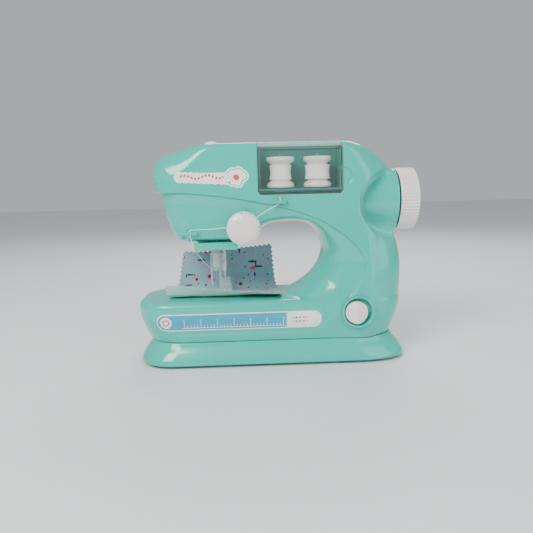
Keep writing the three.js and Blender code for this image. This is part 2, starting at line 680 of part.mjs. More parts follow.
function bobbin() {
  const profile = [[1.5, BOBBIN_Z], [10.4, BOBBIN_Z], [10.4, 38.2], [6, 38.2], [6, 46], [10.4, 46], [10.4, 47.2], [1.5, 47.2], [1.5, BOBBIN_Z]];
  return turned('z', profile, NEEDLE_X, 0, 24);
}

// ---------------------------------------------------------------- knob, switch and button
function tensionKnob() {
  const dome = [
    [0, -38], [13.6, -38], [14.8, -38.8], [15.1, -40.4], [15.1, -42.4], [14.2, -44.2], [11, -46.1],
    [5.5, -47.2], [0, -47.4],
  ];
  return join(turned('y', dome, KNOB.x, KNOB.z, 36), rod('y', 3.6, -38.5, -22, KNOB.x, KNOB.z, 16));
}

function switchBezel() {
  const profile = [
    [2.6, -38.4], [12.4, -38.4], [12.4, -45.3], [15, -45.3], [15, -44.8], [13.6, -44.8], [13.6, -37], [2.6, -37],
    [2.6, -38.4],
  ];
  return turned('y', profile, SWITCH.x, SWITCH.z, 32);
}

const SWITCH_AXIS = { x: 66.8, z: 47.2 };
function modeSwitch() {
  const { x, z } = SWITCH_AXIS;
  const disc = turned('y', [[0, -39.5], [10.2, -39.5], [10.2, -45.6], [9.4, -46.4], [0, -46.4]], x, z, 28);
  const grip = block(x - 1.8, x + 1.8, -47.6, -44, z - 9, z + 9);
  return join(disc, grip, rod('y', 1, -40, -37.2, x, z, 12));
}

const switchBody = () => block(58, 76, -36.6, -26, 38, 57);

function lightButton() {
  const profile = [[0, 191], [3, 191], [3, 195.4], [7.4, 195.4], [7.4, 197.2], [5.9, 197.2], [5.9, 203.4], [5.3, 204.2], [0, 204.2]];
  return turned('z', profile, BUTTON.x, BUTTON.y, 24);
}

// ---------------------------------------------------------------- spool compartment
const HINGE = { y: -7.4, z: 198.6 };
const TRAY_SIDE_FRONT = -29;

// Tub with its two spool pins; open to the front and the top.
function spoolTray() {
  const { left, right } = WINDOW;
  const [x0, x1] = [left + 0.4, right - 0.4];
  const floor = block(x0, x1, -33.2, -4.6, 158.2, 160.2);
  const back = block(x0, x1, -6.6, -4.6, 159, 195.8);
  const sides = [x0, x1 - 2].map((x) => block(x, x + 2, TRAY_SIDE_FRONT, -5.6, 159, 194.8));
  const pins = SPOOL_X.map((x) => rod('z', 2, 159, 191, x, SPOOL_Y, 16));
  return join(floor, back, ...sides, ...pins);
}

// Clear cover: front pane and roof in one, with side tabs and the moulded hinge bar.
function spoolCover() {
  const { left, right, bottom } = WINDOW;
  const [x0, x1] = [left + GAP, right - GAP];
  const skin = (inset) => {
    const line = [];
    for (let k = 0; k <= 4; k += 1) {
      const z = TOP - EDGE_RADIUS * (1 - Math.sin((k / 4) * (Math.PI / 2)));
      line.push([-(halfDepth(z) - roundedDepth(z, TOP) - inset), z - inset]);
    }
    return [[-(halfDepth(bottom) - inset), bottom + 0.4], ...line];
  };
  const outline = [...skin(0), [HINGE.y, TOP], [HINGE.y, TOP - 1.6], ...skin(1.6).reverse()];
  const pane = common(prismX(outline, x0, x1), windowPrism(GAP));
  const tabs = [x0, x1 - 1.8].map((x) => block(x, x + 1.8, -35.2, TRAY_SIDE_FRONT - 0.5, 161, 178));
  const bar = rod('x', 2.2, x0, x1, HINGE.y, HINGE.z, 16);
  return join(pane, ...tabs, bar);
}

function spool(x) {
  const z = SPOOL_BOTTOM;
  const profile = [
    [2.4, z], [12.1, z], [12.7, z + 0.8], [12.7, z + 3.6], [12, z + 4.4], [8.6, z + 6.4], [8.6, z + 21.2],
    [12, z + 23.2], [12.7, z + 24], [12.7, z + 26.8], [12.1, z + 27.6], [2.4, z + 27.6], [2.4, z],
  ];
  return turned('z', profile, x, SPOOL_Y, 24);
}

function winding(x, radius) {
  const z = SPOOL_BOTTOM;
  const profile = [[8.9, z + 7.4], [radius, z + 8.4], [radius, z + 19.2], [8.9, z + 20.2], [8.9, z + 7.4]];
  return turned('z', profile, x, SPOOL_Y, 24);
}

// ---------------------------------------------------------------- thread path and cloth
// Small shelf on the face with an eye for the thread.
function threadGuide(x0, x1, face, z) {
  const shelf = block(x0, x1, face - 4.2, face, z, z + 2.6);
  return cut(shelf, rod('z', 0.9, z - 1, z + 4, (x0 + x1) / 2, face - 2.4, 12));
}

const UPPER_GUIDE = { left: -8, right: 6, face: -37.2, z: 147.2 };
const LOWER_GUIDE = { left: -89, right: -74, face: -36.7, z: 121.2 };

function upperThread() {
  const upperX = (UPPER_GUIDE.left + UPPER_GUIDE.right) / 2;
  const lowerX = (LOWER_GUIDE.left + LOWER_GUIDE.right) / 2;
  const points = [
    [upperX, -39.6, 153], [upperX, -39.6, 147.6], [-10, -38, 142.6], [-18.6, -37.1, 137.6], [-26, -37, 132.5],
    [-30.5, -36.9, 131], [-36, -36.9, 131], [-41, -36.9, 128], [-48, -37.2, 127], [-64, -38.4, 126],
    [lowerX + 1, -39.1, 125.4], [lowerX, -39.1, 121.5], [-80, -36.6, 113], [-78, -35.8, 106.4], [-76.5, -30, 103], [-71, -14, 92],
    [-65.2, -3, 84.4],
  ];
  return wire(points, 0.35, 3, 64);
}

// Cotton cloth bent into a trough: low flap in front, tall flap behind, open hole at the needle.
function fabricPiece() {
  const top = [[-29.5, 72], [-25, 65], [-19, 61.4], [-11, 61.3], [10, 61.3], [15, 63.8], [19.5, 72], [23, 86], [25.5, 104]];
  const under = top.map(([y, z], i) => {
    const [a, b] = [top[Math.max(0, i - 1)], top[Math.min(top.length - 1, i + 1)]];
    const run = new THREE.Vector2(b[0] - a[0], b[1] - a[1]).normalize();
    return [y + run.y * 0.8, z - run.x * 0.8];
  });
  return cut(prismX([...under, ...top.reverse()], -106, -3), rod('z', 2, 55, 65, NEEDLE_X, 0, 14));
}

// ---------------------------------------------------------------- screws
function screw(y, x, z, sign = 1) {
  const profile = [[0, y], [3.1, y], [3.1, y - sign * 1.8], [1.4, y - sign * 2.2], [1.4, y - sign * 9], [0, y - sign * 9]];
  return turned('y', profile, x, z, 16);
}

const doorScrew = () =>
  turned('z', [[0, 3], [3.1, 3], [3.1, 4.8], [1.4, 5.2], [1.4, 10], [0, 10]], DOOR_SCREW.x, DOOR_SCREW.y, 16);

// ---------------------------------------------------------------- assembly
const machine = new THREE.Group();

const CENTRE_SHIFT = 1.75; // brings the middle of the overall length over the origin

function add(name, geometry, material) {
  const solid = solidOf(geometry.clone().translate(CENTRE_SHIFT, 0, 0));
  const mesh = new THREE.Mesh(geometryOf(solid), material);
  mesh.name = name;
  machine.add(mesh);
}

add('front_shell', frontShell(), MINT);
add('rear_shell', rearShell(), MINT);
add('base_tray', baseTray(), MINT);
add('battery_door', batteryDoor(), MINT);
for (const [corner, place] of Object.entries(FEET)) add(`foot_${corner}`, foot(place), RUBBER);
add('battery_box', batteryBox(), DARK);
CELL_Y.forEach((y, i) => add(`battery_${i + 1}`, battery(y), CELL));
add('contact_strip_left', contactStrip(0.3, 1, 3), STEEL);
add('contact_strip_right', contactStrip(57.4, 58.1, 54), STEEL);
add('circuit_board', circuitBoard(), BOARD);
add('speaker', speaker(), DARK);
add('pedal_socket', pedalSocket(), DARK);
add('chassis', chassis(), NATURAL);
add('motor', motor(), STEEL);
add('motor_pinion', motorPinion(), NATURAL);
add('idler_gear', idlerGear(), NATURAL);
add('shaft_gear', shaftGear(), NATURAL);
add('main_shaft', mainShaft(), STEEL);
add('shaft_bush_left', bush(-47, -38.5), BRASS);
add('shaft_bush_right', bush(104, 109.6), BRASS);
add('crank_disc', crankDisc(), NATURAL);
add('handwheel', handwheel(), WHITE);
add('handwheel_cap', wheelCap(), WHITE);
add('needle_bar', needleBar(), STEEL);
add('needle_clamp', needleClamp(), WHITE);
add('needle', needle(), STEEL);
add('presser_bar', presserBar(), STEEL);
add('presser_foot', presserFoot(), CLEAR);
add('needle_guard', needleGuard(), CLEAR);
add('presser_spring', presserSpring(), STEEL);
add('presser_lever', presserLever(), WHITE);
add('needle_housing', needleHousing(), MINT);
add('lamp_lens', lampLens(), CLEAR);
add('needle_plate', needlePlate(), STEEL);
add('feed_dog', feedDog(), STEEL);
add('bobbin_case', bobbinCase(), DARK);
add('bobbin', bobbin(), CLEAR);
add('tension_knob', tensionKnob(), WHITE);
add('switch_bezel', switchBezel(), MINT);
add('mode_switch', modeSwitch(), WHITE);
add('switch_body', switchBody(), DARK);
add('light_button', lightButton(), WHITE);
add('spool_tray', spoolTray(), MINT);
add('spool_cover', spoolCover(), CLEAR);
add('spool_left', spool(SPOOL_X[0]), WHITE);
add('spool_right', spool(SPOOL_X[1]), WHITE);
add('winding_left', winding(SPOOL_X[0], 9.8), THREAD);
add('winding_right', winding(SPOOL_X[1], 11.5), THREAD);
const upper = UPPER_GUIDE;
const lower = LOWER_GUIDE;
add('upper_thread_guide', threadGuide(upper.left, upper.right, upper.face, upper.z), MINT);
add('lower_thread_guide', threadGuide(lower.left, lower.right, lower.face, lower.z), MINT);
add('upper_thread', upperThread(), THREAD);
add('fabric_piece', fabricPiece(), CLOTH);
CASING_SCREWS.forEach(({ x, z }, i) => add(`casing_screw_${i + 1}`, screw(halfDepth(z) - 0.4, x, z), STEEL));
add('door_screw', doorScrew(), STEEL);

export default machine;
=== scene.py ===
"""Toy sewing machine: looks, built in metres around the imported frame."""
import math

import bmesh
import bpy
import numpy as np
from mathutils import Matrix, Vector


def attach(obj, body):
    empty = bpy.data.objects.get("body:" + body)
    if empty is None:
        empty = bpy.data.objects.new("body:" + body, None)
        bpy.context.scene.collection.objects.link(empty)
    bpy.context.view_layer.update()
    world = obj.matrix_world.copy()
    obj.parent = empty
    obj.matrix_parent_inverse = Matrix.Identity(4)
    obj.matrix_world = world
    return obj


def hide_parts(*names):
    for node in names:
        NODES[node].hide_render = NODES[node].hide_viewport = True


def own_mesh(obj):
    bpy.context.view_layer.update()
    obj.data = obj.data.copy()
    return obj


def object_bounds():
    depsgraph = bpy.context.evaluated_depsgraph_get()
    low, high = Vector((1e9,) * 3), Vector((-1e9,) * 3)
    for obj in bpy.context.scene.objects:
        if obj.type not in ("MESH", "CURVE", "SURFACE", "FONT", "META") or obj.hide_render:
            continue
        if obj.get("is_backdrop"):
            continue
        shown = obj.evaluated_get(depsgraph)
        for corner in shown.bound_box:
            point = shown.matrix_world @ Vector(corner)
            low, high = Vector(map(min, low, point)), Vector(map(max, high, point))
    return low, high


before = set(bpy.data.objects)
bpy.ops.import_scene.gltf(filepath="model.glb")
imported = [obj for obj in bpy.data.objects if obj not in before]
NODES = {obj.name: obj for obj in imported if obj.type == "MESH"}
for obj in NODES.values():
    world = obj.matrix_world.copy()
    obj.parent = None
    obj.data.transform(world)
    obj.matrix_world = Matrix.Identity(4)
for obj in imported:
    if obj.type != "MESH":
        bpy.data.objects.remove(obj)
CAD_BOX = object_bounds()
MM = 0.001
SHIFT = 1.75  # the frame's origin lies this far left of the one that the lengths below count from

# ---------------------------------------------------------------- camera, light and floor
CAMERA_AT = (-0.02926, -0.520, 0.163)
CAMERA_PITCH, CAMERA_YAW, CAMERA_ROLL = (math.radians(a) for a in (8.5, 2.0, 1.4))


def make_camera():
    forward = Vector((
        math.sin(CAMERA_YAW) * math.cos(CAMERA_PITCH),
        math.cos(CAMERA_YAW) * math.cos(CAMERA_PITCH),
        -math.sin(CAMERA_PITCH),
    ))
    level = forward.cross(Vector((0, 0, 1))).normalized()
    upright = level.cross(forward)
    right = level * math.cos(CAMERA_ROLL) - upright * math.sin(CAMERA_ROLL)
    up = level * math.sin(CAMERA_ROLL) + upright * math.cos(CAMERA_ROLL)
    data = bpy.data.cameras.new("camera")
    data.sensor_width = 36
    data.lens = 36.47
    data.clip_start = 0.01
    camera = bpy.data.objects.new("camera", data)
    camera.matrix_world = Matrix((
        (right.x, up.x, -forward.x, CAMERA_AT[0]),
        (right.y, up.y, -forward.y, CAMERA_AT[1]),
        (right.z, up.z, -forward.z, CAMERA_AT[2]),
        (0, 0, 0, 1),
    ))
    bpy.context.scene.collection.objects.link(camera)
    bpy.context.scene.camera = camera


def area_light(name, place, target, size, power, colour):
    data = bpy.data.lights.new(name, "AREA")
    data.shape = "RECTANGLE"
    data.size, data.size_y = size
    data.energy = power
    data.color = colour
    lamp = bpy.data.objects.new(name, data)
    lamp.location = place
    lamp.rotation_euler = (Vector(target) - Vector(place)).to_track_quat("-Z", "Y").to_euler()
    bpy.context.scene.collection.objects.link(lamp)


def make_light():
    area_light("key_light", (-0.55, -0.75, 0.85), (0, 0, 0.1), (0.6, 0.5), 15, (1, 0.98, 0.95))
    area_light("fill_light", (0.8, -0.7, 0.5), (0, 0, 0.1), (0.9, 0.9), 5.5, (0.93, 0.97, 1))
    area_light("rim_light", (0.2, 0.9, 0.9), (0, 0, 0.12), (0.9, 0.5), 8, (1, 1, 1))
    world = bpy.data.worlds.new("studio")
    world.use_nodes = True
    background = world.node_tree.nodes["Background"]
    background.inputs["Color"].default_value = (0.86, 0.9, 0.95, 1)
    background.inputs["Strength"].default_value = 0.55
    bpy.context.scene.world = world


# ---------------------------------------------------------------- materials
def linear(rgb):
    """Linear colour, with alpha, from an 8-bit sRGB one."""
    shares = [c / 255 for c in rgb]
    return tuple(c / 12.92 if c <= 10 / 255 else ((c + 0.055) / 1.055) ** 2.4 for c in shares) + (1,)


class Look:
    """A Principled material with object-space noise to drive its detail."""

    def __init__(self, name, rgb, roughness):
        self.material = bpy.data.materials.new(name)
        self.material.use_nodes = True
        self.nodes = self.material.node_tree.nodes
        self.links = self.material.node_tree.links
        self.shader = self.nodes["Principled BSDF"]
        self.place = self.nodes.new("ShaderNodeTexCoord").outputs["Object"]
        self.colour = linear(rgb)
        self.set(**{"Base Color": self.colour, "Roughness": roughness})

    def set(self, **values):
        for socket, value in values.items():
            self.shader.inputs[socket].default_value = value
        return self

    def noise(self, scale, detail=3, stretch=None):
        node = self.nodes.new("ShaderNodeTexNoise")
        node.inputs["Scale"].default_value = scale
        node.inputs["Detail"].default_value = detail
        place = self.place
        if stretch:
            mapping = self.nodes.new("ShaderNodeMapping")
            mapping.inputs["Scale"].default_value = stretch
            self.links.new(place, mapping.inputs["Vector"])
            place = mapping.outputs["Vector"]
        self.links.new(place, node.inputs["Vector"])
        return node.outputs["Fac"]

    def between(self, factor, low, high):
        node = self.nodes.new("ShaderNodeMapRange")
        node.inputs["To Min"].default_value = low
        node.inputs["To Max"].default_value = high
        self.links.new(factor, node.inputs["Value"])
        return node.outputs["Result"]

    def tint(self, factor, rgb_low, rgb_high):
        node = self.nodes.new("ShaderNodeMix")
        node.data_type = "RGBA"
        node.inputs["A"].default_value = linear(rgb_low)
        node.inputs["B"].default_value = linear(rgb_high)
        self.links.new(factor, node.inputs["Factor"])
        return node.outputs["Result"]

    def drive(self, socket, source):
        self.links.new(source, self.shader.inputs[socket])
        return self

    def bump(self, height, distance, strength=1.0):
        node = self.nodes.new("ShaderNodeBump")
        node.inputs["Distance"].default_value = distance
        node.inputs["Strength"].default_value = strength
        self.links.new(height, node.inputs["Height"])
        self.links.new(node.outputs["Normal"], self.shader.inputs["Normal"])
        return self


def shade(rgb, by):
    return tuple(max(0, min(255, c * by)) for c in rgb)


def plastic_look(name, rgb, roughness, coat=0.25, spread=0.035):
    look = Look(name, rgb, roughness)
    cloud = look.noise(22, 4)
    look.drive("Base Color", look.tint(cloud, shade(rgb, 1 - spread), shade(rgb, 1 + spread)))
    look.drive("Roughness", look.between(look.noise(140, 5), roughness * 0.8, roughness * 1.25))
    look.bump(look.noise(900, 2), 0.00002, 0.35)
    look.set(**{"Coat Weight": coat, "Coat Roughness": 0.06, "IOR": 1.5})
    return look.material


def clear_look(name, rgb, alpha, rim_gain, roughness=0.05):
    look = Look(name, rgb, roughness)
    rim = look.nodes.new("ShaderNodeLayerWeight")
    rim.inputs["Blend"].default_value = 0.35
    look.drive("Alpha", look.between(rim.outputs["Facing"], alpha, alpha + rim_gain))
    look.drive("Roughness", look.between(look.noise(60, 4), roughness * 0.6, roughness * 1.6))
    look.bump(look.noise(45, 2), 0.00006, 0.3)
    look.set(**{"Coat Weight": 0.6, "Coat Roughness": 0.03, "IOR": 1.49})
    return look.material


def metal_look(name, rgb, roughness, stretch):
    look = Look(name, rgb, roughness)
    grain = look.noise(300, 4, stretch)
    look.drive("Base Color", look.tint(grain, shade(rgb, 0.93), shade(rgb, 1.05)))
    look.drive("Roughness", look.between(grain, roughness * 0.7, roughness * 1.4))
    look.bump(grain, 0.00002, 0.3)
    look.set(**{"Metallic": 1.0})
    return look.material


def fabric_look(name, rgb, scale=1400):
    look = Look(name, rgb, 0.9)
    warp = look.noise(scale, 2, (1, 0.15, 0.15))
    weft = look.noise(scale, 2, (0.15, 1, 1))
    mixed = look.nodes.new("ShaderNodeMath")
    mixed.operation = "ADD"
    look.links.new(warp, mixed.inputs[0])
    look.links.new(weft, mixed.inputs[1])
    threads = look.between(mixed.outputs[0], -0.5, 1)
    look.drive("Base Color", look.tint(threads, shade(rgb, 0.9), shade(rgb, 1.06)))
    look.bump(mixed.outputs[0], 0.0001, 0.6)
    look.set(**{"Sheen Weight": 0.25, "Sheen Roughness": 0.5, "Specular IOR Level": 0.2})
    return look.material


def printed_cloth():
    """Blue-grey cotton with small pink dots, a few red berries and dark sprigs."""
    ground = (132, 164, 176)
    look = Look("cloth_face", ground, 0.9)
    colour = look.tint(look.noise(1400, 2, (1, 0.15, 0.15)), shade(ground, 0.92), shade(ground, 1.06))

    def printed(colour, rgb, scale, size, stretch, shift):
        mapping = look.nodes.new("ShaderNodeMapping")
        mapping.inputs["Location"].default_value = (shift, shift * 0.4, shift * 0.7)
        mapping.inputs["Rotation"].default_value = (shift, shift * 2, shift * 3)
        mapping.inputs["Scale"].default_value = stretch
        look.links.new(look.place, mapping.inputs["Vector"])
        cells = look.nodes.new("ShaderNodeTexVoronoi")
        cells.inputs["Scale"].default_value = scale
        cells.inputs["Randomness"].default_value = 0.85
        look.links.new(mapping.outputs["Vector"], cells.inputs["Vector"])
        inside = look.nodes.new("ShaderNodeMath")
        inside.operation = "LESS_THAN"
        inside.inputs[1].default_value = size
        look.links.new(cells.outputs["Distance"], inside.inputs[0])
        mixed = look.nodes.new("ShaderNodeMix")
        mixed.data_type = "RGBA"
        mixed.inputs["B"].default_value = linear(rgb)
        look.links.new(inside.outputs["Value"], mixed.inputs["Factor"])
        look.links.new(colour, mixed.inputs["A"])
        return mixed.outputs["Result"]

    colour = printed(colour, (214, 118, 150), 210, 0.24, (1, 1, 1), 0.3)
    colour = printed(colour, (40, 50, 68), 82, 0.15, (0.4, 1.9, 1.9), 1.1)
    colour = printed(colour, (40, 50, 68), 90, 0.15, (1.9, 1.9, 0.4), 0.7)
    colour = printed(colour, (40, 50, 68), 88, 0.13, (1.9, 0.4, 1.9), 1.9)
    colour = printed(colour, (196, 82, 116), 66, 0.14, (1, 1, 1), 1.6)
    colour = printed(colour, (150, 34, 52), 50, 0.1, (1, 1, 1), 2.2)
    look.drive("Base Color", colour)
    look.bump(look.noise(1400, 2, (0.15, 1, 1)), 0.0001, 0.6)
    look.set(**{"Sheen Weight": 0.25, "Sheen Roughness": 0.5, "Specular IOR Level": 0.2})
    return look.material


def make_looks():
    steel = (196, 200, 205)
    return {
        "mint": plastic_look("mint_casing", (42, 186, 168), 0.2, 0.4),
        # darker copy of the mint casing colour: painted shade for the inside of the spool compartment, whose tub is
        # the same turquoise as the casing
        "mint_painted_shade": plastic_look("mint_tub_painted_shade", (26, 120, 108), 0.3, 0.2),
        "white": plastic_look("white_gloss", (232, 227, 222), 0.2, 0.35, 0.015),
        "bobbin_white": plastic_look("white_bobbin", (232, 227, 221), 0.25, 0.3, 0.015),
        "dark": plastic_look("dark_plastic", (44, 48, 52), 0.45, 0.1),
        "natural": plastic_look("acetal", (228, 224, 212), 0.42, 0.0, 0.025),
        "rubber": plastic_look("rubber", (58, 61, 64), 0.85, 0.0, 0.06),
        "clear": clear_look("clear_cover", (198, 230, 225), 0.035, 0.5),
        "clear_part": clear_look("clear_part", (225, 238, 236), 0.22, 0.6),
        "steel": metal_look("steel", steel, 0.28, (1, 1, 0.04)),
        "steel_turned": metal_look("steel_turned", steel, 0.3, (0.05, 1, 1)),
        "brass": metal_look("brass", (196, 158, 88), 0.35, (0.05, 1, 1)),
        "board": plastic_look("circuit_board", (44, 104, 62), 0.4, 0.3, 0.12),
        "cell": plastic_look("cell_wrap", (58, 92, 140), 0.3, 0.3, 0.05),
        "thread": fabric_look("thread", (244, 242, 236), 3000),
        "cloth": printed_cloth(),
        "cloth_back": fabric_look("cloth_reverse", (186, 212, 203)),
        "sticker_blue": plastic_look("sticker_blue", (34, 160, 190), 0.32, 0.2, 0.02),
        "sticker_white": plastic_look("sticker_white", (243, 240, 238), 0.35, 0.2, 0.015),
        "sticker_coral": plastic_look("sticker_coral", (222, 74, 66), 0.35, 0.2, 0.03),
        "mark_grey": plastic_look("mark_grey", (128, 134, 140), 0.4, 0.1, 0.03),
    }


make_camera()
make_light()
LOOKS = make_looks()


def make_floor():
    mesh = bpy.data.meshes.new("floor")
    reach = 4.0
    corners = [(-reach, -reach, 0), (reach, -reach, 0), (reach, reach, 0), (-reach, reach, 0)]
    mesh.from_pydata(corners, [], [(0, 1, 2, 3)])
    look = Look("floor", (232, 233, 235), 0.6)
    look.drive("Roughness", look.between(look.noise(12, 3), 0.5, 0.7))
    mesh.materials.append(look.material)
    floor = bpy.data.objects.new("floor", mesh)
    bpy.context.scene.collection.objects.link(floor)
    floor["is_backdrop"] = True


make_floor()


# ---------------------------------------------------------------- pieces
def piece(name, vertices, faces, look, body="casing", replaces=(), slot=None, sharp=38):
    """A new object from vertices in millimetres, shaded smooth except at edges over sharp degrees."""
    mesh = bpy.data.meshes.new(name)
    points = np.asarray(vertices, float) + np.array([SHIFT, 0, 0])
    mesh.from_pydata((points * MM).tolist(), [], [tuple(f) for f in faces])
    mesh.validate()
    tidy = bmesh.new()
    tidy.from_mesh(mesh)
    bmesh.ops.recalc_face_normals(tidy, faces=tidy.faces)
    tidy.to_mesh(mesh)
    tidy.free()
    mesh.shade_smooth()
    mesh.set_sharp_from_angle(angle=math.radians(sharp))
    mesh.materials.append(LOOKS[look])
    made = bpy.data.objects.new(name, mesh)
    bpy.context.scene.collection.objects.link(made)
    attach(made, body)
    if replaces:
        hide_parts(*replaces)
    return made


def rounded(points, radius, steps=4, closed=True):
    """The same outline with its corners turned into arcs, no wider than the sides allow."""
    out = []
    count = len(points)
    for i, point in enumerate(points):
        here = np.array(point, float)
        if not closed and i in (0, count - 1):
            out.append(tuple(here))
            continue
        before = np.array(points[i - 1], float) - here
        after = np.array(points[(i + 1) % count], float) - here
        reach = min(np.linalg.norm(before), np.linalg.norm(after)) / 2
        before /= max(np.linalg.norm(before), 1e-9)
        after /= max(np.linalg.norm(after), 1e-9)
        bend = math.acos(max(-1.0, min(1.0, float(before @ after))))
        if abs(math.pi - bend) < 0.12:
            out.append(tuple(here))
            continue
        cut_back = min(radius / math.tan(bend / 2), reach * 0.98)
        start, end = here + before * cut_back, here + after * cut_back
        for k in range(steps + 1):
            t = k / steps
            out.append(tuple((1 - t) ** 2 * start + 2 * t * (1 - t) * here + t * t * end))
    return out


AXES = {"x": (1, 2, 0), "y": (2, 0, 1), "z": (0, 1, 2)}


def lathe(name, profile, axis, centre, look, steps=96, radius=0.4, ripple=None, **more):
    """A turned solid. profile lists (radius, place along the axis), from axis to axis or closed on itself."""
    on_axis = abs(profile[0][0]) < 1e-6
    line = rounded(profile, radius, 4, closed=not on_axis)
    first, second, along = AXES[axis]
    vertices, faces, rows = [], [], []
    for r, h in line:
        row = []
        turns = 1 if r < 1e-6 else steps
        for k in range(turns):
            angle = 2 * math.pi * k / steps
            wide = r + (ripple(angle, r, h) if ripple and turns > 1 else 0)
            point = [0.0, 0.0, 0.0]
            point[first] = wide * math.cos(angle)
            point[second] = wide * math.sin(angle)
            point[along] = h
            row.append(len(vertices))
            vertices.append([point[i] + centre[i] for i in range(3)])
        rows.append(row)
    pairs = list(zip(rows, rows[1:]))
    if not on_axis:
        pairs.append((rows[-1], rows[0]))
    for a, b in pairs:
        for k in range(steps):
            n = (k + 1) % steps
            if len(a) == 1 and len(b) == 1:
                continue
            if len(a) == 1:
                faces.append((a[0], b[k], b[n]))
            elif len(b) == 1:
                faces.append((a[k], a[n], b[0]))
            else:
                faces.append((a[k], a[n], b[n], b[k]))
    return piece(name, vertices, faces, look, **more)


def skin(rings):
    """Vertices and faces of a tube over rings of equal count, closed at both ends."""
    count = len(rings[0])
    vertices = [p for ring in rings for p in ring]
    faces = []
    for r in range(len(rings) - 1):
        for i in range(count):
            n = (i + 1) % count
            faces.append((r * count + i, r * count + n, (r + 1) * count + n, (r + 1) * count + i))
    faces.append(tuple(range(count)))
    faces.append(tuple(range((len(rings) - 1) * count, len(rings) * count)))
    return vertices, faces


# ---------------------------------------------------------------- outlines of the casing
BED_TOP = 60.0
SEAM_Z = 22.6
AXIS_Z = 147.7
EDGE_RADIUS = 7.0
HEAD_LEFT = [
    (-84, 106), (-87.4, 112), (-93.8, 115), (-99.9, 123.5), (-104.2, 134), (-107.2, 146), (-109.4, 158.5),
    (-110.4, 166),
]
CAP_LEFT = [
    (-113.2, 151), (-114, 158.5), (-115.8, 166), (-116.2, 175.5), (-113.4, 184.5), (-109.3, 190), (-101.9, 193.4),
    (-95.2, 196), (-86, 198.2), (-76.5, 200), (-66, 201.2), (-52, 201.5),
]
RIGHT_END = [
    (103, 22.6), (104.6, 26), (109.4, 41), (112.2, 54), (114, 69), (114.8, 83.5), (114.2, 94), (111.6, 108),
    (108.4, 119), (107.6, 147), (106.3, 171), (102.4, 179.6), (96.7, 187.1), (88.1, 193.7), (76.8, 198.6),
    (67.4, 200.6), (57, 201.4), (44, 201.5),
]
LEDGE = [
    (26, 30), (32, 34), (38.7, 38.8), (47.1, 47), (55.5, 54.3), (62.9, 62.5), (69.4, 72.6), (74, 82.7), (75.8, 91),
    (74, 97.5), (67.6, 106.9), (57.5, 116.3), (43.9, 126.2), (30.4, 133.3), (12.5, 140), (-5.4, 144.9),
    (-27.6, 149.5), (-49.7, 153.6), (-71.8, 156.3), (-85, 157.6), (-98, 158.2), (-109.5, 158.6), (-125, 159),
]
THROAT_EDGE = [
    (-6, 56), (4, 60), (9, 63), (14, 66.5), (19, 69.9), (24.7, 74.4), (30.4, 79.9), (35.5, 86.8), (39.2, 95),
    (40.8, 103.8), (38.5, 112.2), (33.8, 120.8), (26.7, 127), (19.3, 129.2), (9.7, 129.8), (-2, 128.8),
    (-8.5, 127.8), (-14, 125.8), (-19, 122.2), (-30, 116), (-45, 112.2), (-66, 112), (-88, 112.2),
]
THROAT_FLARE = [
    (4, 54), (20, 58), (42, 59.5), (51, 62), (55.8, 66.5), (58.4, 71.6), (61.8, 80.5), (65, 88.5), (64.6, 95.5),
    (59.5, 104.5), (50.5, 113.6), (40.4, 122.8), (29.8, 130.4), (20.5, 133.8), (9.8, 136), (-4, 136), (-12, 135),
    (-18.5, 132.6), (-24, 128.5), (-34, 122.4), (-47, 118.6), (-66, 118.6), (-88, 118.8),
]
FAR = 170.0
BASE_LEFT = -134.5
BASE_LEAN = [(22.6, 8.6), (25, 7.4), (33.5, 4.3), (44.5, 0.7), (52, 0), (62, 0)]
BASE_DEPTH = 42.9
BED_PLAN_RADIUS = 32.0
WINDOW = {"left": -20.0, "right": 56.5, "bottom": 155.0, "back": -4.0}
WINDOW_MIDDLE = (WINDOW["left"] + WINDOW["right"]) / 2
WINDOW_HALF = (WINDOW["right"] - WINDOW["left"]) / 2
SCOOP = {"x": 110, "z": 144.5, "half_length": 38.5, "half_height": 33.2, "core": 17}
KNOB = (-33.7, 126.0)
SWITCH = (68.2, 47.5)
BUTTON = (-61.7, -10.0)
FINGER_RECESS = (56.0, 169.5)
LEVER = (-54.5, 24.0, 130.0)
NEEDLE_X = -61.5
SOCKET = (60.0, 36.0)
SCREWS = ((-95.0, 172.0), (64.0, 180.0))


def curve_through(points, per=6):
    """Catmull-Rom curve through an open list of 2-D points."""
    p = np.array([points[0]] + list(points) + [points[-1]], float)
    out = []
    for i in range(1, len(p) - 2):
        for k in range(per):
            t = k / per
            a, b, c, d = p[i - 1], p[i], p[i + 1], p[i + 2]
            out.append(0.5 * (2 * b + (c - a) * t + (2 * a - 5 * b + 4 * c - d) * t ** 2
                              + (3 * b - 3 * c + d - a) * t ** 3))
    out.append(p[-2])
    return np.array(out)


def polygon_distance(polygon, x, z):
    """Signed distance to a closed polygon, negative inside."""
    best = np.full(np.broadcast(x, z).shape, 1e9, np.float32)
    inside = np.zeros(best.shape, bool)
    ends = np.roll(polygon, -1, axis=0)
    for (ax, az), (bx, bz) in zip(polygon, ends):
        dx, dz = bx - ax, bz - az
        length = dx * dx + dz * dz
        if length < 1e-9:
            continue
        t = np.clip(((x - ax) * dx + (z - az) * dz) / length, 0, 1)
        best = np.minimum(best, (x - ax - t * dx) ** 2 + (z - az - t * dz) ** 2)
        crosses = ((az <= z) & (bz > z)) | ((bz <= z) & (az > z))
        if abs(dz) > 1e-9:
            inside ^= crosses & (x < ax + (z - az) * dx / dz)
    return np.where(inside, -np.sqrt(best), np.sqrt(best)).astype(np.float32)


def smoothstep(low, high, value):
    t = np.clip((value - low) / (high - low), 0, 1)
    return t * t * (3 - 2 * t)


def round_max(a, b, r):
    """Intersection with a round edge of radius r."""
    return np.minimum(-r, np.maximum(a, b)) + np.hypot(np.maximum(r + a, 0), np.maximum(r + b, 0))


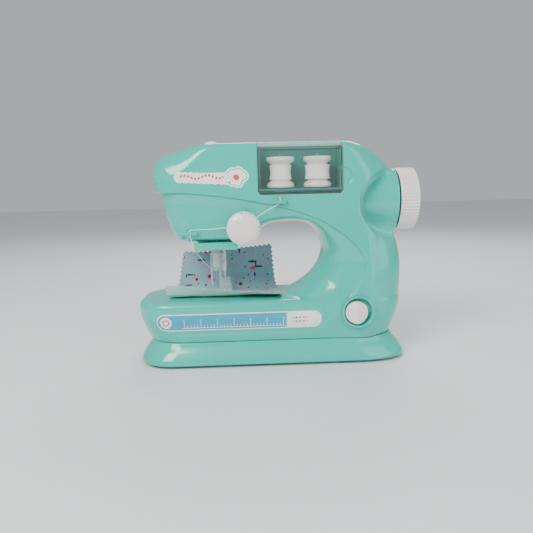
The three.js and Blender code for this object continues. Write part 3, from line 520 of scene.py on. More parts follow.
def round_min(a, b, r):
    """Union with a hollow fillet of radius r."""
    return np.maximum(r, np.minimum(a, b)) - np.hypot(np.maximum(r - a, 0), np.maximum(r - b, 0))


def soft_max(a, b, k):
    return np.maximum(a, b) + np.maximum(k - np.abs(a - b), 0) ** 2 / (4 * k)


def corner(a, b, radius, power, stretch):
    """Intersection whose edge is an arc of a superellipse, longer along a by stretch."""
    a = a / stretch
    bulge = np.maximum(radius + a, 0) ** power + np.maximum(radius + b, 0) ** power
    return np.minimum(-radius, np.maximum(a, b)) + np.maximum(bulge, 1e-9) ** (1 / power)


GRID_LOW = np.array([-139.0, 18.0])
GRID_STEP = 0.4


class SideView:
    """Everything about the casing that depends on x and z only, on a fine lattice."""

    def __init__(self):
        xs = np.arange(GRID_LOW[0], 120, GRID_STEP, dtype=np.float32)
        zs = np.arange(GRID_LOW[1], 206, GRID_STEP, dtype=np.float32)
        self.shape = (len(xs), len(zs))
        x, z = xs[:, None], zs[None, :]
        right = curve_through(RIGHT_END)
        cap = np.vstack([curve_through(CAP_LEFT), right[::-1], [(103, -60), (-113, -60)]])
        head = np.vstack([curve_through(HEAD_LEFT), [(-100, 185), (-60, 194), (60, 194), (96, 175)],
                          [(100, 100), (96, 22), (96, -60), (-80, -60)]])
        close = lambda line, top: np.vstack([line, [(-FAR, top), (-FAR, line[0][1])]])
        ledge = close(curve_through(LEDGE), 159.5)
        edge = close(curve_through(THROAT_EDGE), 112.2)
        flare = close(curve_through(THROAT_FLARE), 118.8)
        flat = np.zeros(self.shape, np.float32)
        self.fields = {
            "cap": polygon_distance(cap, x, z),
            "head": polygon_distance(head, x, z),
            "ledge": polygon_distance(ledge, x, z),
        }
        inner, outer = polygon_distance(edge, x, z), polygon_distance(flare, x, z)
        past_edge = np.clip(inner, 0, None)
        share = past_edge / np.maximum(past_edge + np.clip(-outer, 0, None), 1e-3)
        share = np.where(inner <= 0, inner / 15, np.where(outer >= 0, 1 + outer / 15, share))
        self.fields["flare"] = (share * 0.92).astype(np.float32)
        self.fields["steep"] = np.clip(np.hypot(*np.gradient(self.fields["flare"], GRID_STEP)), 0, 1.5)
        lean = np.interp(zs, *zip(*BASE_LEAN))[None, :]
        right_edge = np.interp(zs, right[:, 1], right[:, 0])[None, :]
        self.fields["bed"] = (np.maximum(BASE_LEFT + lean - x, x - right_edge) + flat).astype(np.float32)
        foot = smoothstep(100, 50, z) * smoothstep(30, 66, x)
        self.fields["depth"] = (45 - z / 18 + 1.6 * foot - 0.6 * lean + flat).astype(np.float32)
        self.fields["bed_depth"] = (BASE_DEPTH - 0.6 * lean + flat).astype(np.float32)
        inward = np.clip(-self.fields["ledge"], 0, None)
        self.fields["recess"] = (1.3 + 1.6 * smoothstep(0, 10, inward)).astype(np.float32)
        oval = np.hypot((x - SCOOP["x"]) / SCOOP["half_length"], (z - SCOOP["z"]) / SCOOP["half_height"])
        self.fields["scoop"] = ((oval - 1) * 35).astype(np.float32)
        left, right_side = smoothstep(-62, -92, x), smoothstep(57, 92, x)
        self.fields["radius"] = (EDGE_RADIUS + 17 * left + 28 * right_side + flat).astype(np.float32)
        self.fields["power"] = (2 + 0.45 * right_side + flat).astype(np.float32)
        self.fields["stretch"] = (1 + 0.5 * right_side + flat).astype(np.float32)
        window = round_max(np.abs(x - WINDOW_MIDDLE) - WINDOW_HALF, WINDOW["bottom"] - z, 4.0)
        self.fields["window"] = (window + flat).astype(np.float32)

    def on_grid(self, every, low, count):
        """Fields on a coarser lattice whose points are points of the fine one."""
        i0 = np.round((low - GRID_LOW) / GRID_STEP).astype(int)
        rows = slice(i0[0], i0[0] + every * count[0], every)
        columns = slice(i0[1], i0[1] + every * count[1], every)
        return {k: f[rows, columns][:, None, :] for k, f in self.fields.items()}

    def at(self, x, z):
        u = np.clip((x - GRID_LOW[0]) / GRID_STEP, 0, self.shape[0] - 1.001)
        v = np.clip((z - GRID_LOW[1]) / GRID_STEP, 0, self.shape[1] - 1.001)
        i, j = u.astype(int), v.astype(int)
        a, b = u - i, v - j
        mix = lambda f: (f[i, j] * (1 - a) * (1 - b) + f[i + 1, j] * a * (1 - b)
                         + f[i, j + 1] * (1 - a) * b + f[i + 1, j + 1] * a * b)
        return {k: mix(f) for k, f in self.fields.items()}


def outside(view, x, y, z):
    """Signed field of the casing's outer form, negative inside."""
    ay = np.abs(y)
    cap = corner(view["cap"], ay - view["depth"], view["radius"], view["power"], view["stretch"])
    cap = round_max(cap, -view["ledge"], 1.7)
    depth = view["depth"] - view["recess"]
    head = corner(view["head"], ay - depth, view["radius"], view["power"], view["stretch"])
    away = np.maximum(0, 1 - view["flare"])
    reach = np.maximum(np.hypot(ay / depth, away), 1e-3)
    slope = np.hypot(ay / depth, away * depth * view["steep"]) / reach
    flare = depth * (reach - 1) / np.maximum(1, slope)
    body = round_min(cap, soft_max(head, flare, 2.5), 0.5)
    bed = corner(view["bed"], ay - view["bed_depth"], BED_PLAN_RADIUS, view["power"], view["stretch"])
    bed = round_max(bed, z - BED_TOP, 6.0)
    body = round_min(body, bed, 1.6)
    hollow = round_max(view["scoop"], SCOOP["core"] - ay, 7.0)
    body = round_max(body, -hollow, 1.6)
    boss = np.hypot(y, z - AXIS_Z) - (24.4 + 4.4 * smoothstep(74, 111, x))
    boss = round_max(np.maximum(boss, 60 - x), x - 110, 1.2)
    return round_min(body, boss, 5.0)


def cylinder(a, b, centre, radius):
    return np.hypot(a - centre[0], b - centre[1]) - radius


def slab(low, value, high):
    return np.maximum(low - value, value - high)


WALL = 2.6


def shell_half(view, x, y, z, side):
    """Field of one casing half: side is -1 for the front, 1 for the rear."""
    form = outside(view, x, y, z)
    fillet = np.maximum(slab(-40, x, 34), slab(57.4, z, 72))
    wall = np.maximum(form, -np.maximum(form + WALL, -fillet))
    wall = round_max(wall, 0.15 - side * y, 0.55)
    wall = np.maximum(wall, SEAM_Z - z)
    holes = [
        np.maximum(cylinder(y, z, (0, AXIS_Z), 6.3), 100 - x),
        np.maximum(slab(-84, x, -36), np.maximum(np.abs(y) - 13, slab(50, z, 66))),
        np.maximum(slab(-73, x, -44), np.maximum(np.abs(y) - 13, slab(98, z, 122))),
    ]
    if side < 0:
        holes.append(np.maximum(view["window"], y - WINDOW["back"]))
        holes.append(np.maximum(cylinder(x, z, KNOB, 4.3), y + 26))
        holes.append(np.maximum(cylinder(x, z, SWITCH, 13.9), y + 32))
        holes.append(np.maximum(cylinder(x, y, BUTTON, 6.3), 188 - z))
        holes.append(np.maximum(cylinder(x, z, FINGER_RECESS, 8.6), -(form + 1.3)))
    else:
        slot = np.maximum(np.abs(x - LEVER[0]) - 4.5, slab(LEVER[2] - 12, z, LEVER[2] + 6))
        holes.append(np.maximum(slot, 28 - y))
        holes.append(np.maximum(cylinder(x, z, SOCKET, 4.4), 30 - y))
        holes += [np.maximum(cylinder(x, z, screw, 3.5), 25 - y) for screw in SCREWS]
    for hole in holes:
        wall = round_max(wall, -hole, 0.6)
    return wall


def surface_nets(values, low, step):
    """Quads around the zero level of a lattice of values, one vertex for each cell it crosses."""
    nx, ny, nz = (n - 1 for n in values.shape)
    inside = values < 0
    corners = [(i, j, k) for i in (0, 1) for j in (0, 1) for k in (0, 1)]
    count = sum(inside[i:i + nx, j:j + ny, k:k + nz].astype(np.int8) for i, j, k in corners)
    cells = np.argwhere((count > 0) & (count < 8))
    number = np.full((nx, ny, nz), -1, np.int32)
    number[tuple(cells.T)] = np.arange(len(cells))
    total = np.zeros((len(cells), 3))
    hits = np.zeros(len(cells))
    for axis in range(3):
        for a in (0, 1):
            for b in (0, 1):
                start = np.insert([a, b], axis, 0)
                end = np.insert([a, b], axis, 1)
                v0 = values[tuple((cells + start).T)]
                v1 = values[tuple((cells + end).T)]
                cross = (v0 < 0) != (v1 < 0)
                t = np.where(cross, v0 / np.where(cross, v0 - v1, 1), 0)
                total[cross] += (start + t[:, None] * (end - start))[cross]
                hits += cross
    vertices = low + step * (cells + total / np.maximum(hits, 1)[:, None])
    faces = []
    for axis in range(3):
        u, v = [a for a in range(3) if a != axis]
        span = [slice(1, nx), slice(1, ny), slice(1, nz)]
        span[axis] = slice(0, (nx, ny, nz)[axis])
        after = list(span)
        after[axis] = slice(1, (nx, ny, nz)[axis] + 1)
        a_in, b_in = inside[tuple(span)], inside[tuple(after)]
        for flip, mask in ((False, a_in & ~b_in), (True, ~a_in & b_in)):
            at = np.argwhere(mask) + np.array([0 if a == axis else 1 for a in range(3)])
            eu, ev = np.eye(3, dtype=int)[u], np.eye(3, dtype=int)[v]
            ring = [at, at - eu, at - eu - ev, at - ev]
            quad = np.stack([number[tuple(c.T)] for c in ring], 1)
            turn = flip ^ (axis == 1)
            faces.append(quad[:, ::-1] if turn else quad)
    return vertices, np.vstack(faces)


def settle(vertices, field, rounds=3):
    """Moves vertices onto the zero level of a field."""
    e = 0.05
    for _ in range(rounds):
        here = field(*vertices.T)
        slope = np.stack([field(*(vertices + e * np.eye(3)[a]).T) - here for a in range(3)], 1) / e
        size = np.maximum((slope ** 2).sum(1), 0.09)
        move = -(here / size)[:, None] * slope
        reach = np.linalg.norm(move, axis=1, keepdims=True)
        vertices = vertices + move * np.minimum(1, 0.5 / np.maximum(reach, 1e-6))
    return vertices


VIEW = SideView()


def casing_half(name, side, every):
    step = GRID_STEP * every
    low = np.array([-138.2, -47.2 if side < 0 else -1.2, 19.6])
    low[[0, 2]] = GRID_LOW + GRID_STEP * np.round((low[[0, 2]] - GRID_LOW) / GRID_STEP)
    counts = np.ceil(np.array([252, 48.4, 184]) / step).astype(int)
    x, y, z = (low[a] + step * np.arange(counts[a]) for a in range(3))
    view = VIEW.on_grid(every, low[[0, 2]], counts[[0, 2]])
    lattice = shell_half(view, x[:, None, None], y[None, :, None], z[None, None, :], side).astype(np.float32)
    vertices, faces = surface_nets(lattice, low, step)
    vertices = settle(vertices, lambda px, py, pz: shell_half(VIEW.at(px, pz), px, py, pz, side))
    return piece(name + "_form", vertices, faces, "mint", replaces=(name,), slot="mint_plastic", sharp=60)


casing_half("front_shell", -1, 2)
casing_half("rear_shell", 1, 3)


# ---------------------------------------------------------------- solids from fields
def from_field(name, field, low, high, step, look, **more):
    """A closed piece around the zero level of a field of x, y and z, negative inside."""
    low = np.array(low, float) - 2 * step
    counts = np.ceil((np.array(high, float) + 2 * step - low) / step).astype(int) + 1
    x, y, z = (low[a] + step * np.arange(counts[a]) for a in range(3))
    lattice = field(x[:, None, None], y[None, :, None], z[None, None, :])
    lattice = np.broadcast_to(lattice, counts).astype(np.float32)
    vertices, faces = surface_nets(lattice, low, step)
    vertices = settle(vertices, field)
    return piece(name, vertices, faces, look, **more)


def brick(x, y, z, low, high, radius=0.5):
    sides = round_max(slab(low[0], x, high[0]), slab(low[1], y, high[1]), radius)
    return round_max(sides, slab(low[2], z, high[2]), radius)


def casing_at(x, y, z):
    """The outer form over broadcast coordinates or a list of points."""
    if np.ndim(x) == 3:
        side = (x.shape[0], 1, z.shape[2])
        view = VIEW.at(np.broadcast_to(x, side), np.broadcast_to(z, side))
    else:
        view = VIEW.at(x, z)
    return outside(view, x, y, z)


# ---------------------------------------------------------------- base tray and feet
TRAY_OUTLINE = (
    (2.5, -133.2, 114.8, 47.0), (3.2, -134, 115.6, 47.7), (4, -134.4, 116, 48), (5.4, -134.4, 115.9, 47.9),
    (8, -133.4, 114.6, 47.2), (11, -131.6, 112.7, 45.7), (14, -129.6, 110.6, 44), (17, -127.2, 108.1, 41.9),
    (19, -125.8, 106.6, 40.7), (22.2, -124.2, 105, 39.4),
)
TRAY_PLAN_RADIUS = 33.0
DOOR = (-1.0, 59.0, 24.5)


def tray_field(x, y, z):
    heights, lefts, rights, halves = zip(*TRAY_OUTLINE)
    left, right, half = (np.interp(z, heights, column) for column in (lefts, rights, halves))
    turn = smoothstep(30, 90, x)
    ends = np.maximum(left - x, x - right)
    plan = corner(ends, np.abs(y) - half, TRAY_PLAN_RADIUS, 2 + 0.45 * turn, 1 + 0.5 * turn)
    form = round_max(plan, slab(2.5, z, 22.2), 0.7)
    hollow = np.maximum(plan + 2.5, 5.0 - z)
    form = round_max(form, -hollow, 0.5)
    doorway = brick(x, y, z, (DOOR[0], -DOOR[2], -2), (DOOR[1], DOOR[2], 9), 0.8)
    form = round_max(form, -doorway, 0.3)
    for k in range(-2, 3):
        slot = brick(x, y, z, (-99.1 + 5 * k, -9, -2), (-96.9 + 5 * k, 9, 8), 1.0)
        form = round_max(form, -slot, 0.3)
    return round_max(form, -np.maximum(cylinder(x, y, (66, 0), 3.5), z - 9), 0.3)


from_field("tray_form", tray_field, (-135, -48.4, 2.2), (116.6, 48.4, 22.4), 0.8,
           "mint", replaces=("base_tray",), slot="mint_plastic", sharp=50)
PAD = ((0, 0), (3, 0), (3.4, 0.35), (4.2, 0.35), (4.6, 0), (6.2, 0), (7, 0.9), (7, 2.2), (0, 2.2))
for corner_name, place in {
    "front_left": (-104, -28), "front_right": (86, -28), "rear_left": (-104, 28), "rear_right": (86, 28),
}.items():
    lathe("pad_" + corner_name, PAD, "z", (*place, 0), "rubber", 64, 0.3,
          replaces=("foot_" + corner_name,), slot="rubber_foot")


# ---------------------------------------------------------------- handwheel
def wheel_ribs(angle, r, h):
    """Grooves across the rim only, sixty around it."""
    if r < 28.6 or not 112.6 < h < 127.4:
        return 0.0
    wave = math.cos(60 * angle)
    return -0.75 * min(1.0, max(0.0, 0.5 - 1.4 * wave))


WHEEL = [(2.8, 111), (7, 111), (7.6, 113.6), (27.2, 113.6), (27.8, 111.2), (28.8, 111.2), (29.3, 112)]
WHEEL += [(29.3, 112.9 + 0.5 * k) for k in range(29)]
WHEEL += [(29.3, 127.6), (28.9, 128.2), (27.2, 128.2), (26.7, 127.4)]
WHEEL += [(26.5, 124.6), (8.5, 124.5), (8.3, 121), (2.8, 121)]
lathe("wheel_form", WHEEL, "x", (0, 0, AXIS_Z), "white", 480, 0.35, wheel_ribs, body="drive",
      replaces=("handwheel",), slot="white_plastic", sharp=50)
lathe("cap_form", [(0, 124.9), (26.2, 124.9), (26.2, 128.4), (25.4, 129.6), (23.4, 130.2), (22.6, 129.6),
                   (21.6, 129.6), (20.8, 130.3), (12, 130.9), (0, 131)],
      "x", (0, 0, AXIS_Z), "white", 128, 0.8, body="drive", replaces=("handwheel_cap",), slot="white_plastic")


# ---------------------------------------------------------------- knob, switch and button
lathe("knob_form", [(0, -22), (3.4, -22), (3.6, -22.4), (3.6, -37.6), (3.7, -38), (13.4, -38), (14.3, -38.3),
                    (14.6, -39.3), (14.2, -39.9), (14.3, -40.5), (15.1, -41), (15.1, -42.6), (14.7, -43.4),
                    (13.6, -44.3), (13.2, -44.4), (12.9, -44.9), (10.4, -46.1), (7.2, -46.9), (3.6, -47.3),
                    (0, -47.4)],
      "y", (KNOB[0], 0, KNOB[1]), "white", 128, 0.5, body="knob", replaces=("tension_knob",),
      slot="white_plastic")


def knob_mark(name, angle, half, length):
    """Thin dash on the sloping rim of the knob, angle in degrees from straight up."""
    vertices, faces = [], []
    columns = 6
    for lift in (-0.1, 0.06):
        for row, (r, y) in enumerate(((14.35, -43.85), (14.35 - length, -43.85 - 0.55 * length))):
            for k in range(columns + 1):
                turn = math.radians(angle + half * (2 * k / columns - 1))
                wide = r + lift
                vertices.append((KNOB[0] + wide * math.sin(turn), y - lift, KNOB[1] + wide * math.cos(turn)))
    n = columns + 1
    for k in range(columns):
        faces.append((k, k + 1, n + k + 1, n + k))
        faces.append((2 * n + k, 3 * n + k, 3 * n + k + 1, 2 * n + k + 1))
        faces.append((k, 2 * n + k, 2 * n + k + 1, k + 1))
        faces.append((n + k, n + k + 1, 3 * n + k + 1, 3 * n + k))
    faces.append((0, n, 3 * n, 2 * n))
    faces.append((columns, 2 * n + columns, 3 * n + columns, n + columns))
    return piece(name, vertices, faces, "mark_grey", body="knob", slot="white_plastic")


for number, angle in enumerate(range(-6, 100, 15)):
    knob_mark(f"knob_mark_{number}", angle, 2.6 if number % 2 else 4.2, 0.8)

lathe("bezel_form", [(2.6, -37.1), (2.6, -38.2), (11.4, -38.4), (12.3, -39), (12.6, -41), (12.6, -44.2),
                     (13, -45), (13.8, -45.3), (14.8, -45.2), (15, -44.7), (14.2, -44.3), (13.6, -43), (13.6, -37),
                     (12.8, -36.9)],
      "y", (SWITCH[0], 0, SWITCH[1]), "mint", 112, 0.4, replaces=("switch_bezel",), slot="mint_plastic")


def switch_field(x, y, z):
    """A low disc with two flat facets that meet in a ridge, on a short stem."""
    u, v = x - 66.8, z - 47.2
    disc = np.hypot(u, v) - 10.3
    ridge = u - 1.4
    crown = 47.6 - 0.36 * np.abs(ridge) - 0.002 * (u * u + v * v)
    form = round_max(disc, -y - crown, 0.5)
    form = round_max(form, y + 39.5, 0.4)
    stem = np.maximum(np.hypot(u, v) - 1.0, slab(-40, y, -37.2))
    return np.minimum(form, stem)


from_field("switch_form", switch_field, (56, -48, 36), (78, -37, 58), 0.45, "white", body="switch",
           replaces=("mode_switch",), slot="white_plastic", sharp=20)
lathe("button_form", [(0, 191), (3, 191), (3.1, 195.4), (7.4, 195.5), (7.4, 197.2), (5.9, 197.6), (5.9, 203.0),
                      (5.6, 203.6), (4.6, 204.0), (0, 204.2)],
      "z", (*BUTTON, 0), "white", 72, 0.3, body="button", replaces=("light_button",), slot="white_plastic")


# ---------------------------------------------------------------- spool compartment
TUB = (WINDOW["left"] + 0.4, WINDOW["right"] - 0.4)
SPOOL_X = (1.2, 35.2)
SPOOL_Y, SPOOL_BOTTOM = -20.0, 160.8
HINGE = (-7.4, 198.6)


def tub_field(x, y, z):
    form = brick(x, y, z, (TUB[0], -33.2, 158.2), (TUB[1], -4.6, 160.2), 0.4)
    form = round_min(form, brick(x, y, z, (TUB[0], -6.6, 159), (TUB[1], -4.6, 195.8), 0.4), 1.6)
    for edge in (TUB[0], TUB[1] - 2):
        form = round_min(form, brick(x, y, z, (edge, -29, 159), (edge + 2, -5.6, 194.8), 0.4), 1.6)
    for middle in SPOOL_X:
        pin = round_max(cylinder(x, y, (middle, SPOOL_Y), 2.0), slab(159, z, 191), 0.7)
        form = round_min(form, pin, 0.8)
    return form


# the tub wears the darker mint copy, which is painted shade and not a colour of its own
from_field("tub_form", tub_field, (TUB[0], -33.4, 158), (TUB[1], -4.4, 196), 0.7, "mint_painted_shade",
           replaces=("spool_tray",), slot="mint_plastic", sharp=50)


def cover_field(x, y, z):
    """A clear pane with thick side edges and a bottom rim, a latch in front and a hinge rod behind."""
    casing = casing_at(x, y, z)
    half = WINDOW_HALF - 0.35
    across = np.abs(x - WINDOW_MIDDLE)
    outline = round_max(round_max(across - half, WINDOW["bottom"] + 0.5 - z, 3.8), y - HINGE[0], 0.3)
    pane = round_max(slab(-1.5, casing, 0), outline, 0.3)
    edging = round_max(slab(-3.4, casing, 0), np.maximum(outline, half - 1.6 - across), 0.3)
    form = round_min(pane, edging, 0.5)
    ledge = round_max(np.maximum(outline, z - (WINDOW["bottom"] + 2.2)), slab(-3.0, casing, 0), 0.3)
    form = round_min(form, ledge, 0.4)
    tab = brick(across, y, z, (half - 1.8, -36.0, 161), (half, -29.6, 178), 0.5)
    form = round_min(form, tab, 0.4)
    latch = round_max(slab(0.05, casing, 1.3), slab(-6, x, 5), 0.2)
    latch = round_max(latch, np.maximum(slab(152.4, z, 158), y + 20), 0.2)
    form = np.minimum(form, latch)
    rod = np.maximum(np.hypot(y - HINGE[0], z - HINGE[1]) - 2.2, across - half)
    return np.minimum(form, rod)


from_field("cover_form", cover_field, (WINDOW["left"], -38.4, 152), (WINDOW["right"], -5, 201.5),
           0.65, "clear", body="cover", replaces=("spool_cover",), slot="clear_plastic",
           sharp=45)


def spool_profile(bottom):
    side = [(2.4, 0), (3.6, 0), (4.2, 0.5), (10.2, 0.5), (10.9, 0), (12, 0), (12.7, 0.8), (12.75, 2.2), (12.4, 3.6),
            (11.2, 4.8), (9.6, 5.8), (8.7, 7.0)]
    upper = [(r, 27.6 - h) for r, h in reversed(side)]
    return [(r, bottom + h) for r, h in side + upper]


def winding_profile(bottom, radius):
    """Wound thread: a slightly hollow side with one small ridge for each turn."""
    inner = [(8.8, bottom + 7.2)]
    turns = 26
    for k in range(turns * 2 + 1):
        share = k / (turns * 2)
        hollow = 0.9 * (1 - (2 * share - 1) ** 2)
        ridge = 0.26 if k % 2 else 0.0
        inner.append((radius + 0.7 - hollow + ridge, bottom + 7.6 + 12.4 * share))
    inner.append((8.8, bottom + 20.4))
    return inner


SPOOLS = (("left", SPOOL_X[0], 9.4, "spool_a"), ("right", SPOOL_X[1], 10.8, "spool_b"))
for side_name, middle, radius, body_name in SPOOLS:
    centre = (middle, SPOOL_Y, 0)
    lathe(f"spool_{side_name}_form", spool_profile(SPOOL_BOTTOM), "z", centre, "bobbin_white", 96, 0.4,
          body=body_name, replaces=("spool_" + side_name,), slot="white_plastic")
    lathe(f"winding_{side_name}_form", winding_profile(SPOOL_BOTTOM, radius), "z", centre, "thread", 64, 0.0,
          body=body_name, replaces=("winding_" + side_name,), slot="thread", sharp=80)


# ---------------------------------------------------------------- head fittings
def housing_field(x, y, z):
    form = brick(x, y, z, (-78.7, -34, 106.4), (-39.7, 15, 111.2), 1.2)
    form = round_min(form, brick(x, y, z, (-78.7, -34, 106.4), (-39.7, -31.6, 113.4), 0.7), 0.6)
    form = round_max(form, -brick(x, y, z, (-68.5, -11, 98), (-48, 10.5, 118), 1.5), 0.5)
    return round_max(form, -cylinder(x, y, (-70, -22), 3.4), 0.3)


from_field("housing_form", housing_field, (-79, -34.4, 106), (-39.4, 15.4, 113.6), 0.7, "mint",
           replaces=("needle_housing",), slot="mint_plastic", sharp=50)


def guide_field(low_x, high_x, face, bottom):
    """A pointed shelf with a lip at its front and an eye for the thread."""
    def field(x, y, z):
        out = face - y
        middle = (low_x + high_x) / 2
        slope = (x - middle) * 0.9 - (high_x - middle) + 0.55 * out
        form = round_max(slab(low_x, x, high_x), slab(bottom, z, bottom + 2.6), 0.5)
        form = round_max(form, slab(-0.2, out, 4.2), 0.5)
        form = round_max(form, slope, 0.5)
        return round_max(form, -cylinder(x, y, (middle, face - 2.4), 0.9), 0.25)
    return field


GUIDES = {"upper_thread_guide": (-8, 6, -37.2, 147.2), "lower_thread_guide": (-89, -74, -36.7, 121.2)}
for guide_name, (low_x, high_x, face, bottom) in GUIDES.items():
    from_field(guide_name + "_form", guide_field(low_x, high_x, face, bottom), (low_x, face - 4.4, bottom),
               (high_x, face + 0.4, bottom + 2.8), 0.35, "mint", replaces=(guide_name,), slot="mint_plastic",
               sharp=50)


def foot_field(x, y, z):
    sole = brick(x, y, z, (-68, -11, 61.8), (-47, 9, 63.9), 0.7)
    tip = np.maximum(sole, 62.4 - z + 0.35 * np.maximum(0, -7 - y))
    tip = round_max(tip, -brick(x, y, z, (-63.5, -14, 58), (-59.5, 4, 68), 1.2), 0.4)
    shank = brick(x, y, z, (-57.2, 0.2, 63), (-48.5, 8, 75.6), 1.2)
    step = brick(x, y, z, (-58.2, -6, 62.6), (-47, 8, 69.5), 1.0)
    form = round_min(tip, round_min(shank, step, 1.2), 0.8)
    return round_max(form, -brick(x, y, z, (-63.5, -14, 58), (-59.5, 4, 70), 0.8), 0.3)


def guard_field(x, y, z):
    form = brick(x, y, z, (-66.5, -8, 84), (-51.5, -6.6, 101), 0.6)
    for edge in (-66.5, -58.6):
        form = round_min(form, brick(x, y, z, (edge, -8, 70.2), (edge + 2, -6.6, 86), 0.6), 0.8)
    rib = brick(x, y, z, (-66.5, -9, 99), (-51.5, -6.6, 101), 0.6)
    return round_min(round_min(form, rib, 0.4), brick(x, y, z, (-56.6, -8, 90), (-51.5, 1.6, 95), 0.6), 0.8)


from_field("foot_form", foot_field, (-68.4, -11.4, 61.6), (-46.6, 9.4, 76), 0.45, "clear_part",
           body="presser_unit", replaces=("presser_foot",), slot="clear_plastic", sharp=45)
from_field("guard_form", guard_field, (-66.9, -9.2, 70), (-51.1, 2, 101.4), 0.45, "clear_part",
           body="presser_unit", replaces=("needle_guard",), slot="clear_plastic", sharp=45)
lathe("clamp_form", [(0, 86), (1.8, 86), (2.5, 86.6), (2.9, 88), (3.1, 92), (3.2, 98.4), (3.9, 99.2), (3.9, 102.4),
                     (3.2, 103.3), (0, 103.3)],
      "z", (NEEDLE_X, 0, 0), "white", 64, 0.4, body="needle_unit", replaces=("needle_clamp",),
      slot="white_plastic")
lathe("lamp_form", [(0, 104.6), (1.0, 104.7), (2.0, 105.2), (2.7, 106.0), (3, 107), (3, 110.6), (0, 110.6)],
      "z", (-70, -22, 0), "clear_part", 48, 0.3, replaces=("lamp_lens",), slot="clear_plastic")
lathe("socket_form", [(0, 31), (1.8, 31), (1.8, 43.9), (2.2, 44.4), (4.9, 44.4), (5.4, 44.1), (5.4, 43.5), (4, 43.4),
                      (4, 29), (0, 29)],
      "y", (SOCKET[0], 0, SOCKET[1]), "dark", 64, 0.1, replaces=("pedal_socket",), slot="dark_plastic")


# ---------------------------------------------------------------- thread
THREAD = (
    (-1, -39.6, 153), (-1, -39.6, 147.6), (-10, -38, 142.6), (-18.6, -37.1, 137.6), (-26, -37, 132.5),
    (-30.5, -36.9, 131), (-36, -36.9, 131), (-41, -36.9, 128), (-48, -37.2, 127), (-64, -38.4, 126),
    (-80.5, -39.1, 125.4), (-81.5, -39.1, 121.5),
    (-80, -36.6, 113), (-78, -35.8, 106.4), (-76.5, -30, 103), (-71, -14, 92), (-65.2, -3, 84.4),
)


def tube(name, points, radius, look, sides=10, per=12, ply=0.0, **more):
    """A round cord along a curve; ply twists two shallow grooves around it."""
    line = np.array(points, float)
    padded = np.vstack([2 * line[0] - line[1], line, 2 * line[-1] - line[-2]])
    path = []
    for i in range(1, len(padded) - 2):
        p0, p1, p2, p3 = padded[i - 1:i + 3]
        for k in range(per):
            t = k / per
            path.append(0.5 * (2 * p1 + (p2 - p0) * t + (2 * p0 - 5 * p1 + 4 * p2 - p3) * t * t
                               + (3 * p1 - 3 * p2 + p3 - p0) * t ** 3))
    path.append(line[-1])
    path = np.array(path)
    walked = np.concatenate([[0], np.cumsum(np.linalg.norm(np.diff(path, axis=0), axis=1))])
    across = np.array([0.0, 1.0, 0.0])
    rings = []
    for i, point in enumerate(path):
        run = path[min(i + 1, len(path) - 1)] - path[max(i - 1, 0)]
        run /= np.linalg.norm(run)
        across = across - run * (across @ run)
        across /= np.linalg.norm(across)
        other = np.cross(run, across)
        ring = []
        for k in range(sides):
            turn = 2 * math.pi * k / sides
            wide = radius * (1 - ply * (0.5 + 0.5 * math.cos(2 * turn - walked[i] * 2.6)))
            ring.append(point + wide * (math.cos(turn) * across + math.sin(turn) * other))
        rings.append(ring)
    vertices, faces = skin(rings)
    return piece(name, vertices, faces, look, **more)


tube("thread_form", THREAD, 0.3, "thread", 12, 24, 0.28, replaces=("upper_thread",), slot="thread", sharp=80)

PRESSER_BAR = (-54, 4)


def spring_coil(turns=6, per_turn=16, radius=3, bottom=110.95, height=9.1):
    """Points up a helix around the presser bar."""
    coil = []
    for k in range(turns * per_turn + 1):
        turn = 2 * math.pi * k / per_turn
        x, y = PRESSER_BAR[0] + radius * math.cos(turn), PRESSER_BAR[1] + radius * math.sin(turn)
        coil.append((x, y, bottom + height * k / (turns * per_turn)))
    return coil


spring = tube("spring_form", spring_coil(), 0.42, "steel_turned", 10, 2, body="casing",
              replaces=("presser_spring",), slot="steel", sharp=80)
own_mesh(spring)


# ---------------------------------------------------------------- cloth
CLOTH_BACK = (
    (-16, 61.2), (-11, 61.1), (0, 61.1), (10, 61.3), (13, 62.2), (15, 63.8), (17.6, 67.2), (19.5, 72),
    (21.4, 79), (23, 86), (24.4, 95), (25.4, 104),
)
CLOTH_THICK = 0.45


def cloth_profile(u):
    """Section of the cloth at u across it: its front flap stands up at the left and lies down at the right."""
    tilt = math.radians(62 - 52 * u)
    fold = (-19.5, 61.3)
    flap = [(fold[0] - d * math.cos(tilt), fold[1] + 0.5 + d * math.sin(tilt)) for d in (14.5, 10, 6, 2.5)]
    rise = 0.2 * max(0.0, u - 0.3) + 0.9
    back = [(y, 61.1 + (z - 61.1) * (rise if z > 70 else 1)) for y, z in CLOTH_BACK]
    return curve_through(flap + back, 10)


